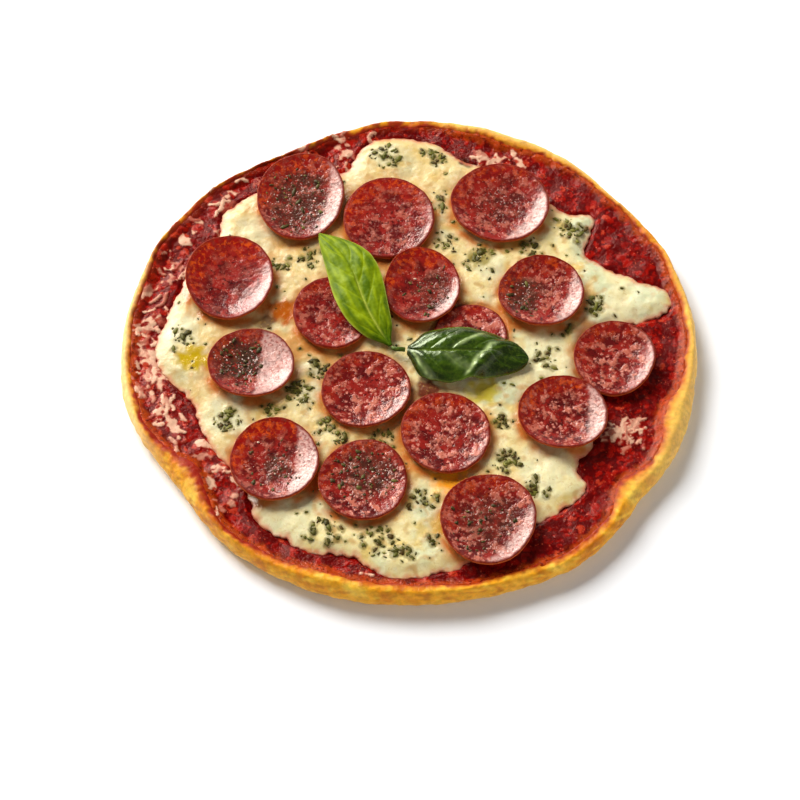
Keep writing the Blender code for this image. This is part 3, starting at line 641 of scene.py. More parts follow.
def pepperoni_look():
    """Dark red meat with paler fat in soft patches and specks, crisper towards its rim. Painted light: red
    and orange glow on the side towards the lights, a pale painted highlight on the wall, and painted
    sparkles.
    """
    look = Look("pepperoni", (1.0, 0.8, 0.7))
    names = ("fat", "pepper", "painted_glow", "painted_highlight", "rim")
    fatty, pepper, painted_glow, painted_highlight, rim = (look.attribute(name, "Fac") for name in names)
    place = look.shifted(2.6, 1.6)
    meat = look.mix(look.patches((6.0, 3.0), (0.38, 0.6), place=place), (92, 8, 9), (144, 28, 20))
    fat = look.times(look.patches((4.0, 2.0), (0.48, 0.66), (0.0, 0.68), look.shifted(1.6, 1.4)), fatty)
    meat = look.mix(fat, meat, (194, 106, 84))
    speck = look.times(look.specks(2.6, (0.14, 0.4), 0.75, look.shifted(1.2, 1.0)), fatty)
    meat = look.mix(look.times(speck, look.patches((5.0, 2.0), (0.42, 0.56))), meat, (214, 130, 110))
    meat = look.mix(look.patches((1.9, 3.0, 0.6), (0.52, 0.68), (0.0, 0.85)), meat, (58, 3, 4))
    grain = look.times(look.specks(0.9, (0.1, 0.32), 0.6), look.patches((2.6, 2.0), (0.5, 0.62)))
    meat = look.mix(grain, meat, (232, 170, 148))
    brown = look.times(pepper, look.patches((1.7, 4.0, 0.65), (0.38, 0.52), (0.2, 1.0)))
    meat = look.mix(brown, meat, look.mix(look.noise(1.1, 2.0), (22, 8, 6), (84, 56, 38)))
    # Painted sparkles: pale dots among the pepper, where wet flakes would glint.
    painted_sparkle = look.specks(1.5, (0.1, 0.34), 1.0, look.shifted(0.8, 0.5))
    painted_sparkle = look.times(look.times(painted_sparkle, look.patches((3.0, 2.0), (0.46, 0.56))), pepper)
    meat = look.mix(painted_sparkle, meat, (240, 212, 196))
    # Painted glow: red and orange where light shines through the curled rim, on the side towards the lights.
    red = look.times(painted_glow, look.patches((1.9, 3.0, 0.6), (0.34, 0.56), (0.35, 1.0)))
    meat = look.mix(red, meat, (156, 12, 4))
    orange = look.times(painted_glow, look.patches((2.6, 4.0, 0.6), (0.47, 0.62), (0.0, 0.9), place))
    meat = look.mix(orange, meat, (222, 82, 16))
    # Painted highlight: a pale, speckled crescent on the wall.
    painted_highlight_film = look.times(painted_highlight, look.patches((1.3, 4.0, 0.65), (0.36, 0.56), (0.16, 0.64)))
    meat = look.mix(painted_highlight_film, meat, (234, 194, 180))
    meat = look.mix(look.between(rim, 0.0, 0.5, 0.0, 0.85), meat, (106, 20, 6))
    edge = look.mix(look.noise(2.0, 3.0), (140, 36, 16), (216, 104, 42))
    meat = look.mix(look.between(rim, 0.55, 1.0, 0.0, 0.9), meat, edge)
    look.link(look.between(rim, 0.0, 0.5, 0.8, 0.1), look.shader.inputs["Specular IOR Level"])
    rough = look.maths("ADD", look.between(rim, 0.0, 0.5, 0.2, 0.5), look.between(painted_highlight, 0.0, 1.0, 0.0, 0.1))
    height = look.maths("ADD", look.noise(1.8, 3.0), fat)
    return look.finish(meat, ((height, 0.22), (look.noise(0.6, 2.0), 0.09)), rough)


def leaf_look(name, roughness, shine, bump, mottled):
    look = Look(name, (0.9, 1.0, 0.62), Roughness=roughness, Specular_IOR_Level=shine)
    mottle = look.patches((1.5, 3.0), (0.4, 0.7), (0.0, mottled))
    colour = look.mix(mottle, look.attribute("tone"), (150, 170, 50))
    return look.finish(colour, ((look.noise(1.1, 3.0), bump),))


def herb_look():
    look = Look("dried_herb", (1.0, 0.95, 0.6), Roughness=0.5, Specular_IOR_Level=0.35)
    mottle = look.patches((0.5, 2.0), (0.4, 0.7), (0.0, 0.4))
    colour = look.mix(mottle, look.attribute("tone"), (110, 104, 40))
    return look.finish(colour, ((look.noise(0.35, 2.0), 0.15),))


def closed_rings(rings, sectors):
    """Faces of a closed body: quads between rings of points, and a cap on the first and the last ring."""
    first = np.arange(rings - 1)[:, None] * sectors + np.arange(sectors)[None, :]
    after = np.arange(rings - 1)[:, None] * sectors + (np.arange(sectors)[None, :] + 1) % sectors
    faces = np.stack([first, after, after + sectors, first + sectors], axis=-1).reshape(-1, 4).tolist()
    last = (rings - 1) * sectors
    return faces + [tuple(range(sectors))[::-1], tuple(range(last, last + sectors))]


def make_crust(shreds):
    """The dough: a smooth section swept round, with blisters, and browned where it bulges."""
    sectors = 1300
    angles = np.arange(sectors) * 360 / sectors
    outer = np.array([rim_radius(a) for a in angles])
    inner = np.array([sauce_radius(a) for a in angles])
    top = np.array([rim_top(a) for a in angles])
    lip = outer - inner
    level = np.ones(sectors)
    knots = [(outer + out, height * level) for out, height in CRUST_SIDE]
    knots += [(outer - TOP_OUTER_SHARE * lip, top), (inner + TOP_INNER_SHARE * lip, top - TOP_INNER_DROP),
              (inner, RIM_WALL_Z * level), (inner, FLOOR_Z * level)]
    knots = np.array(knots)
    rings = [(outer * share, np.zeros(sectors)) for share in (0.25, 0.5, 0.7, 0.85)]
    for i in range(len(knots) - 1):
        steps = 2 if i in (0, len(knots) - 2) else 6
        rings += [tuple(catmull_rom(*span(knots, i), t)) for t in np.linspace(0, 1, steps, endpoint=False)]
    rings += [tuple(knots[-1])] + [(inner * share, FLOOR_Z * level) for share in (0.6, 0.2)]
    radius = np.array([ring[0] for ring in rings])
    height = np.array([ring[1] for ring in rings])
    turn = np.radians(angles)[None, :]
    along = np.broadcast_to(turn * CRUST_RADIUS, radius.shape)
    across = np.cumsum(np.hypot(np.diff(radius, axis=0, prepend=radius[:1]),
                                np.diff(height, axis=0, prepend=height[:1])), axis=0)
    blister = (0.55 * lumps(along, across, 9.4, 1) + 0.3 * lumps(along, across, 4.2, 2)
               + 0.16 * lumps(along, across, 1.9, 3))
    on_side = smooth(0.6, 3.0, height) * smooth(-1.0, 1.0, radius - inner)
    on_rim = (radius > inner - 0.5) & (height > 0.3)
    push = np.where(on_rim, blister * on_side, 0.0)
    outwards = smooth(12.0, 6.0, height)
    radius = radius + np.minimum(push - 0.35 * (on_side > 0), 0.1) * outwards
    height = np.maximum(height + push * (1 - outwards), 0.0)
    smear = in_band(angles, RIM_SMEAR) * smooth(9.0, 11.0, height) * (radius > inner - 0.5)
    shred = shreds.sample(shreds.height, radius * np.cos(turn), radius * np.sin(turn))
    height = height + smear * shred
    points = np.stack([radius * np.cos(turn), radius * np.sin(turn), height], axis=-1).reshape(-1, 3)
    faces = closed_rings(len(rings), sectors)

    x, y, z = points.T
    bare = np.clip((np.hypot(x, y) - np.tile(inner, len(rings))) / np.tile(lip, len(rings)), 0, 1)
    tones = plain_tones((236, 162, 28), len(points))
    tones = tinted(tones, (242, 186, 78), smooth(8.5, 3.0, z))
    patch = lumps(x, y, 15.0, 4) + 0.5 * lumps(x + z, y, 5.5, 5)
    tones = tinted(tones, (214, 120, 14), smooth(0.0, 0.8, patch) * smooth(3.0, 9.0, z) * 0.9)
    burnt = smooth(0.35, 1.1, lumps(x, y, 6.5, 6) + 0.3 * patch)
    tones = tinted(tones, (166, 80, 10), burnt * smooth(5.0, 11.0, z))
    # Painted highlights: bright yellow where the patches dip, strongest at the front.
    front_painted_highlight = 0.9 - 0.6 * smooth(-0.2, 0.5, y / CRUST_RADIUS)
    tones = tinted(tones, (255, 214, 84), smooth(0.0, 0.9, -patch) * smooth(6.0, 11.0, z) * front_painted_highlight)
    mark = lumps(x + 0.5 * z, 1.3 * y + 2.0 * z, 4.6, 37) + 0.5 * lumps(x, y + z, 9.0, 38)
    front = smooth(0.1, -0.4, y / CRUST_RADIUS)
    tones = tinted(tones, (188, 96, 12), smooth(0.2, 0.7, mark) * smooth(2.5, 7.0, z) * 0.6)
    # Painted highlights: bright yellow streaks on the front.
    tones = tinted(tones, (255, 206, 66), smooth(-0.25, -0.8, mark) * smooth(5.0, 10.0, z) * 0.7 * front)
    around = np.tile(angles, len(rings))
    bare = bare - 0.3 * in_band(around, (190, 200, 226, 246))
    left = in_band(around, (150, 172, 196, 212))
    back_right = in_band(around, (30, 42, 74, 88))
    clean = 1 - 0.6 * np.maximum(left, back_right)
    stain = smooth(0.6, 0.05, bare + 0.24 * lumps(x, y, 4.2, 7)) * smooth(7.5, 10.0, z) * clean
    tones = tinted(tones, (200, 90, 14), stain)
    stain = smooth(0.36, 0.0, bare + 0.2 * lumps(x, y, 3.0, 14)) * smooth(8.0, 10.0, z)
    tones = tinted(tones, (150, 26, 8), stain)
    ragged = smooth(-1.0, 1.0, height - 11.0 + 1.8 * lumps(along, across, 3.8, 16)).ravel()
    smear = smear.ravel() * ragged * smooth(-0.5, 0.1, lumps(x, y, 5.0, 15)) * smooth(1.0, 0.8, bare)
    tones = tinted(tones, (150, 22, 10), smear * 0.9)
    milk = smear * smooth(0.15, 0.5, shred.ravel())
    tones = tinted(tones, (206, 96, 74), milk)
    tones = tinted(tones, (238, 190, 156), smooth(0.4, 0.9, milk * shreds.sample(shreds.tone, x, y)))
    # Paler yellow on the bare rim: at the left and at the right it is painted highlight; the back right is
    # paler too.
    tones = tinted(tones, (255, 210, 132), left * smooth(0.2, 0.6, bare) * 0.85)
    tones = tinted(tones, (250, 202, 116), back_right * smooth(0.2, 0.6, bare) * 0.7)
    right = smooth(0.8, 0.97, x / np.hypot(x, y + 20.0).clip(1.0))
    tones = tinted(tones, (255, 214, 112), right * smooth(0.2, 0.6, bare) * 0.55)
    # Browner outer side at the back: a baked tone, and painted shade that takes down the stronger light
    # there.
    behind = smooth(0.1, 0.6, y / CRUST_RADIUS) * smooth(10.5, 7.0, z)
    tones = tinted(tones, (190, 118, 44), behind * smooth(-0.9, 0.5, patch) * 0.75)
    under = z < 0.4
    scorch = smooth(-0.1, 0.9, lumps(x, y, 12.0, 8) + 0.5 * lumps(x, y, 4.0, 9))
    below = tinted(plain_tones((222, 184, 122), len(points)), (150, 92, 40), scorch)
    tones = np.where(under[:, None], below, tones)
    add_piece("crust_baked", points, faces, crust_look(), ["crust"], tones)


def spread_points(step, seed):
    """Points of a triangular grid over the whole pizza, each moved a little so that no rows show."""
    draw = np.random.default_rng(seed)
    rows = int(CRUST_RADIUS / (step * math.sqrt(0.75))) + 1
    column, row = np.meshgrid(np.arange(-rows, rows + 1), np.arange(-rows, rows + 1))
    x = (column + 0.5 * (row % 2)) * step + draw.uniform(-0.2, 0.2, row.shape) * step
    y = row * step * math.sqrt(0.75) + draw.uniform(-0.2, 0.2, row.shape) * step
    near = np.hypot(x, y) < CRUST_RADIUS + 2
    return x[near], y[near]


def layer(outline, loose, top, bottom):
    """Points and faces of a flat-bottomed layer inside an outline, with the height top(x, y)."""
    flat = np.concatenate([outline, loose])
    count = len(outline)
    edges = [(i, (i + 1) % count) for i in range(count)]
    placed, _, triangles, *_ = delaunay_2d_cdt([Vector(p) for p in flat.tolist()], edges, [], INSIDE_ONLY,
                                               MERGE_WITHIN)
    rim = [Vector(p) for p in outline.tolist()]
    _, _, below, *_ = delaunay_2d_cdt(rim, edges, [], INSIDE_ONLY, MERGE_WITHIN)
    placed = np.array([tuple(point) for point in placed])
    points = np.concatenate([np.column_stack([placed, top(placed[:, 0], placed[:, 1])]),
                             np.column_stack([outline, np.full(count, bottom)])])
    first = len(placed)
    faces = [tuple(triangle) for triangle in triangles]
    faces += [tuple(first + i for i in reversed(triangle)) for triangle in below]
    faces += [(first + i, first + (i + 1) % count, (i + 1) % count, i) for i in range(count)]
    return points, faces


def chosen(x, y, keep):
    return np.stack([x[keep], y[keep]], axis=1)


def pulp_map():
    """Chopped tomato. The tone runs from dark to bright pieces."""
    made = ReliefMap()
    draw = np.random.default_rng(SEED)
    for _ in range(PULP_LUMPS):
        reach, turn = CRUST_RADIUS * math.sqrt(draw.uniform(0.3, 1.0)), draw.uniform(0, 2 * math.pi)
        long = draw.uniform(0.8, 2.6)
        made.stamp(reach * math.cos(turn), reach * math.sin(turn), long, long * draw.uniform(0.4, 0.9),
                   draw.uniform(0, math.pi), draw.uniform(0.25, 0.75) * long ** 0.6 * 0.5, draw.uniform(0, 1))
    return made


def shred_map(outline):
    """Curled, half-melted shreds that lie between the rim and the cheese's outline."""
    made = ReliefMap()
    draw = np.random.default_rng(SEED + 2)
    places = []
    for middle, spread, count in SHRED_PLACES:
        for _ in range(round(SHRED_SHARE * count)):
            angle = draw.normal(middle, spread)
            over_rim = 6.0 if SHREDS_OVER_RIM[0] < angle < SHREDS_OVER_RIM[1] else 0.5
            reach = sauce_radius(angle) - draw.uniform(-over_rim, 22)
            turn = math.radians(angle)
            places.append((reach * math.cos(turn), reach * math.sin(turn)))
    for x, y, spread, count in SHRED_HEAPS:
        places += [(draw.normal(x, 0.6 * spread), draw.normal(y, 0.6 * spread))
                   for _ in range(round(SHRED_SHARE * count))]
    for x, y in places:
        if float(depth_inside(np.array([x]), np.array([y]), outline)[0]) > 3:
            continue
        melted = draw.random() < 0.4
        half_wide = draw.uniform(1.6, 3.0) if melted else draw.uniform(0.55, 1.2)
        heading = math.atan2(x, -y) + draw.uniform(-1.1, 1.1)
        bend = draw.uniform(-0.35, 0.35)
        height = draw.uniform(0.3, 0.6) if melted else draw.uniform(0.45, 0.9)
        tone = draw.uniform(0.35, 1.0)
        for _ in range(int(draw.uniform(2, 4) if melted else draw.uniform(5, 11))):
            made.stamp(x, y, half_wide * draw.uniform(0.9, 1.5), half_wide * draw.uniform(0.8, 1.15), heading,
                       height * draw.uniform(0.7, 1.15), tone)
            x += 0.8 * half_wide * math.cos(heading)
            y += 0.8 * half_wide * math.sin(heading)
            heading += bend + draw.uniform(-0.25, 0.25)
    return made


def make_sauce(cheese, shreds):
    """The sauce: a bed under the cheese, and chopped tomato where it shows, up the inside of the rim."""
    angles = np.arange(0, 360, 0.25)
    inner = np.array([sauce_radius(a) for a in angles])
    outer = np.array([rim_radius(a) for a in angles])
    edge = inner + np.maximum(1.0, SAUCE_UNDER_RIM * (outer - inner))
    walls = np.array([rim_top(a) for a in angles])
    rim = np.stack([edge * np.cos(np.radians(angles)), edge * np.sin(np.radians(angles))], axis=1)
    pulp = pulp_map()

    x, y = spread_points(FINE_STEP, 1)
    in_rim = inside_edge(x, y, angles, edge)
    open_sauce = depth_inside(x, y, cheese) < 4.0
    fine = chosen(x, y, (in_rim > FINE_STEP) & open_sauce)
    x, y = spread_points(COVERED_STEP, 2)
    covered = chosen(x, y, depth_inside(x, y, cheese) > 4.0 + COVERED_STEP)

    def top(x, y):
        away = -depth_inside(x, y, cheese)
        rise = np.clip((away + 1.6) / SAUCE_RISE, 0, 1)
        lump = solid_noise(x, y, SAUCE_LUMP, SAUCE_NOISE_LAYER)
        chunk = 0.8 * pulp.sample(pulp.height, x, y) + 0.3 * lumps(x, y, 2.8, 30) - 0.25
        chunk = np.maximum(chunk, shreds.sample(shreds.height, x, y))
        height = SAUCE_BED_Z + rise * (SAUCE_Z - SAUCE_BED_Z + SAUCE_RELIEF * lump)
        height += chunk * np.clip((away + 3) / 3, 0, 1)
        wall = np.interp(turn_of(x, y), angles, walls, period=360)
        climb = smooth(SAUCE_CLIMB, 1.4, inside_edge(x, y, angles, edge) + 0.8 * lumps(x, y, 5.0, 33))
        height += climb * np.maximum(wall - SAUCE_CLIMB_DROP + 0.7 * chunk - height, 0)
        return np.minimum(height, around_slices(x, y)[1] - 0.3)

    points, faces = layer(rim, np.concatenate([fine, covered]), top, FLOOR_Z + 0.3)
    x, y, _ = points.T
    milk = shreds.sample(shreds.height, x, y) - pulp.sample(pulp.height, x, y) + 0.15
    milk = smooth(0.1, 0.45, milk) * shreds.sample(shreds.tone, x, y)
    tone = pulp.sample(pulp.tone, x, y)
    tones = plain_tones((126, 5, 3), len(points))
    tones = tinted(tones, (160, 14, 4), smooth(0.5, 0.8, tone))
    tones = tinted(tones, (92, 0, 2), smooth(0.4, 0.1, tone))
    tones = tinted(tones, (192, 62, 34), smooth(0.9, 0.97, tone) * 0.7)
    plain = 1 - 0.8 * in_band(turn_of(x, y), RIM_SMEAR)
    near_rim = smooth(3.6, 0.0, inside_edge(x, y, angles[::2], inner[::2]) + 1.8 * lumps(x, y, 4.0, 32))
    tones = tinted(tones, (184, 70, 12), near_rim * 0.7 * plain)
    tones, _ = spotted(tones, x, y)
    tones = tinted(tones, (184, 76, 56), smooth(0.0, 0.5, milk) * 0.8)
    tones = tinted(tones, (234, 188, 154), smooth(0.3, 0.8, milk) * 0.88)
    piece = add_piece("sauce_chunky", points, faces, sauce_look(), ["sauce"], tones)
    set_values(piece, "milk", milk)


def cheese_top(x, y, depth):
    """The solid's melted form with finer folds, close under the slices."""
    wave = solid_noise(x, y, CHEESE_WAVE, CHEESE_NOISE_LAYER)
    full = CHEESE_Z + CHEESE_RELIEF * wave + 0.6 * lumps(x, y, 13.0, 20) + 0.42 * lumps(x, y, 6.0, 21)
    full += 0.2 * (0.4 - np.abs(lumps(x, y, 4.2, 22))) + 0.08 * lumps(x, y, 1.8, 29)
    edge = SAUCE_Z - 0.7
    height = edge + (full - edge) * smooth(-2.5, CHEESE_EDGE_WIDTH + 2.0, depth)
    return np.minimum(height, around_slices(x, y)[1] - CHEESE_GAP)


def make_cheese(outline, stains):
    """The melted sheet: fine in the open, coarse under the slices, oiled near them and browned in spots."""
    ragged = 1.5 * lumps(*outline.T, 7.5, 23) + 1.0 * lumps(*outline.T, 3.2, 24)
    edge = moved_out(outline, ragged + 0.4 * lumps(*outline.T, 1.5, 19))
    x, y = spread_points(FINE_STEP, 3)
    depth, (away, _) = depth_inside(x, y, edge), around_slices(x, y)
    fine = chosen(x, y, (depth > 0.6 * FINE_STEP) & (away > -3.5))
    x, y = spread_points(COVERED_STEP, 4)
    depth, (away, _) = depth_inside(x, y, edge), around_slices(x, y)
    covered = chosen(x, y, (depth > COVERED_STEP) & (away < -3.5 - COVERED_STEP))
    points, faces = layer(edge, np.concatenate([fine, covered]),
                          lambda x, y: cheese_top(x, y, depth_inside(x, y, outline)), SAUCE_BED_Z + 0.2)
    x, y, _ = points.T
    depth, (away, _) = depth_inside(x, y, edge), around_slices(x, y)
    glow = slice_glow(x, y)
    tones = plain_tones((237, 222, 160), len(points))
    tones = tinted(tones, (206, 215, 174), smooth(-0.15, 0.45, lumps(x, y, 19.0, 25)) * 0.9)
    tones = tinted(tones, (222, 190, 98), smooth(0.0, 0.6, lumps(x, y, 8.0, 26)) * 0.75)
    tones = tinted(tones, (190, 140, 68), smooth(0.15, 0.7, lumps(x, y, 4.5, 18)) * 0.65)
    left_back = smooth(30.0, -70.0, x - 0.7 * y)
    tones = tinted(tones, (204, 166, 100), 0.12 + left_back * 0.42)
    right_front = smooth(70.0, 130.0, x - y)
    pale_and_painted_light = np.zeros(x.shape)
    for pale_x, pale_y, reach in PALE_AND_PAINTED_LIGHT_PLACES:
        near = np.hypot(x - pale_x, y - pale_y) / reach + 0.3 * lumps(x, y, 6.0, 36)
        pale_and_painted_light = np.maximum(pale_and_painted_light, smooth(1.1, 0.5, near))
    # Pale cheese; right of leaf B's tip this is painted light against the leaf's shadow.
    tones = tinted(tones, (226, 222, 180), pale_and_painted_light * 0.6)
    oiled = smooth(0.55, 1.5, glow + 0.4 * lumps(x, y, 6.0, 34)) * (1 - 0.75 * pale_and_painted_light)
    tones = tinted(tones, (200, 132, 54), oiled * (0.8 - 0.45 * right_front))
    halo = np.exp(-np.clip(away - 0.6, 0, None) / 2.6) * (1 - 0.5 * pale_and_painted_light)
    halo *= smooth(-0.9, 0.3, lumps(x, y, 7.0, 27))
    tones = tinted(tones, (194, 104, 40), halo * 0.95)
    tones, spots = spotted(tones, x, y)
    oil = np.maximum(np.maximum(oiled, halo), spots)
    stain = smooth(0.1, 0.9, stains.sample(stains.height, x, y) + 0.3 * lumps(x, y, 1.6, 35) - 0.05)
    tones = tinted(tones, (116, 100, 40), stain * 0.8)
    tones = tinted(tones, (214, 130, 96), smooth(3.0, 0.0, depth + 1.2 * lumps(x, y, 3.5, 28)) * 0.75)
    tones = tinted(tones, (160, 40, 24), smooth(0.9, 0.0, depth + 0.6 * lumps(x, y, 2.2, 16)) * 0.7)
    piece = add_piece("cheese_melted", points, faces, cheese_look(), ["cheese"], tones)
    set_values(piece, "oil", oil)


def slice_mesh(number):
    """Points, faces and the values per point: nearness to the rim, painted glow, painted highlight and
    pepper.
    """
    sectors = 110
    middle_x, middle_y, width, depth = SLICES[number][:4]
    under = [(s, 0.06 * smooth(0.5, 0.95, s)) for s in (0.08, 0.35, 0.6, 0.78, 0.88, 0.94)]
    bend = [(0.955 + 0.045 * math.sin(math.radians(a)), 0.5 - 0.46 * math.cos(math.radians(a)))
            for a in (15, 40, 65, 90, 115, 140, 165)]
    over = [(s, 1.0) for s in (0.94, 0.92, 0.9, 0.87, 0.84, 0.8, 0.76, 0.72, 0.68, 0.63, 0.58, 0.53, 0.48,
                               0.43, 0.38, 0.33, 0.28, 0.23, 0.18, 0.12, 0.06)]
    rings = under + bend + over
    turn = np.arange(sectors) * 2 * math.pi / sectors
    share = np.array([ring[0] for ring in rings])[:, None] * np.ones(sectors)
    lift = np.array([ring[1] for ring in rings])[:, None] * np.ones(sectors)
    crinkle = 0.012 * lumps(20 * np.cos(turn), 20 * np.sin(turn), 6.0, 40 + number) * np.ones(share.shape)
    reach = share * (wobble(number, turn, OUTLINE_WOBBLE) + crinkle * smooth(0.6, 1.0, share))
    x = middle_x + 0.5 * width * reach * np.cos(turn)
    y = middle_y + 0.5 * depth * reach * np.sin(turn)
    z = slice_underside(number, x, y, share, turn) + lift * SLICE_THICKNESS
    z += lift * (0.13 * lumps(x, y, 3.2, 60) + 0.05 * lumps(x, y, 1.5, 61) + 0.2 * lumps(x, y, 8.0, 62))
    points = np.stack([x, y, z], axis=-1).reshape(-1, 3)
    faces = closed_rings(len(rings), sectors)
    rim = smooth(0.9, 0.99, share + 0.02 * lumps(x, y, 2.5, 63)) * np.where(lift < 0.8, 1.0, 0.5)
    # Painted glow: light through the thin curled rim, on the side towards the lights.
    towards = np.cos(turn - math.radians(118)) * np.ones(share.shape)
    painted_glow = smooth(0.45, 0.95, share + 0.2 * lumps(x, y, 6.0, 64)) * smooth(-0.3, 0.7, towards) * (lift > 0.5)
    across_x, across_y = share * np.cos(turn), share * np.sin(turn)
    # Painted highlight: a pale crescent on the wall, cut off by a circle moved away from it.
    direction, wide, half_angle, strength = SLICE_PAINTED_HIGHLIGHTS[number]
    shift = (1 - (1 - 2 * wide) ** 2) / (2 * (1 - 2 * wide - math.cos(math.radians(half_angle))))
    aim = math.radians(direction)
    reach = np.hypot(across_x + shift * math.cos(aim), across_y + shift * math.sin(aim))
    painted_highlight = smooth(-0.03, 0.1, reach - (shift + 1 - 2 * wide) + 0.05 * lumps(x, y, 3.0, 65))
    painted_highlight *= strength * (lift > 0.5) * smooth(1.0, 0.94, share)
    pepper_x, pepper_y, pepper_reach, pepper_strength = SLICE_PEPPER.get(number + 1, (0.0, 0.0, 1.0, 0.0))
    away = np.hypot(across_x - pepper_x, across_y - pepper_y) / pepper_reach
    pepper = pepper_strength * smooth(1.1, 0.5, away + 0.3 * lumps(x, y, 5.0, 66)) * (lift > 0.5)
    values = {"rim": rim, "painted_glow": painted_glow * SLICE_PAINTED_GLOW[number], "painted_highlight": painted_highlight, "pepper": pepper * (1 - painted_highlight),
              "fat": np.full(share.shape, SLICE_FAT[number])}
    return points, faces, {name: value.ravel() for name, value in values.items()}


def make_slices():
    """The pepperoni, all in one material that reads each slice's values."""
    look = pepperoni_look()
    for number in range(len(SLICES)):
        name = f"pepperoni_{number + 1:02d}"
        points, faces, values = slice_mesh(number)
        piece = add_piece(f"{name}_marbled", points, faces, look, [name])
        for value_name, value in values.items():
            set_values(piece, value_name, value)


def leaf_surface(leaf, along, across):
    """Points of the leaf's sheet: along goes from 0 at the base to 1 at the tip, across from -1 to 1."""
    base, tip = np.array(leaf["base"]), np.array(leaf["tip"])
    axis = tip - base
    side = np.array((axis[1], -axis[0])) / np.hypot(*axis)
    started = LEAF_START + (1 - LEAF_START) * along
    shape = np.clip(np.sin(math.pi * started ** leaf["skew"]), 0, 1) ** leaf["blunt"]
    full = leaf["width"] * shape * (1 - LEAF_TAPER * along) * (0.3 + 0.7 * smooth(-0.03, 0.13, along))
    wide = np.maximum(np.maximum(LEAF_LEAST_WIDTH, LEAF_BASE_WIDTH * (1 - along)), full)
    bow = leaf["bow"][0] * np.sin(math.pi * along) + leaf["bow"][1] * np.sin(2 * math.pi * along)
    off = np.abs(across)
    droop = np.where(across > 0, leaf["droop"][1], leaf["droop"][0]) * wide / leaf["width"]
    puff = LEAF_PUFF * off * (1 - off) * shape
    wave = LEAF_RIPPLE * off * np.sin(LEAF_RIPPLE_WAVES * along + LEAF_RIPPLE_SKEW * across) * shape
    heights = leaf["spine"]
    place = along * (len(heights) - 1)
    i = np.minimum(place.astype(int), len(heights) - 2)
    around = [np.array(heights)[np.clip(i + k, 0, len(heights) - 1)] for k in (-1, 0, 1, 2)]
    spine = catmull_rom(*around, place - i)
    x = base[0] + axis[0] * along + side[0] * (0.5 * wide * across + bow)
    y = base[1] + axis[1] * along + side[1] * (0.5 * wide * across + bow)
    return x, y, spine - droop * across ** 2 + puff + wave, shape


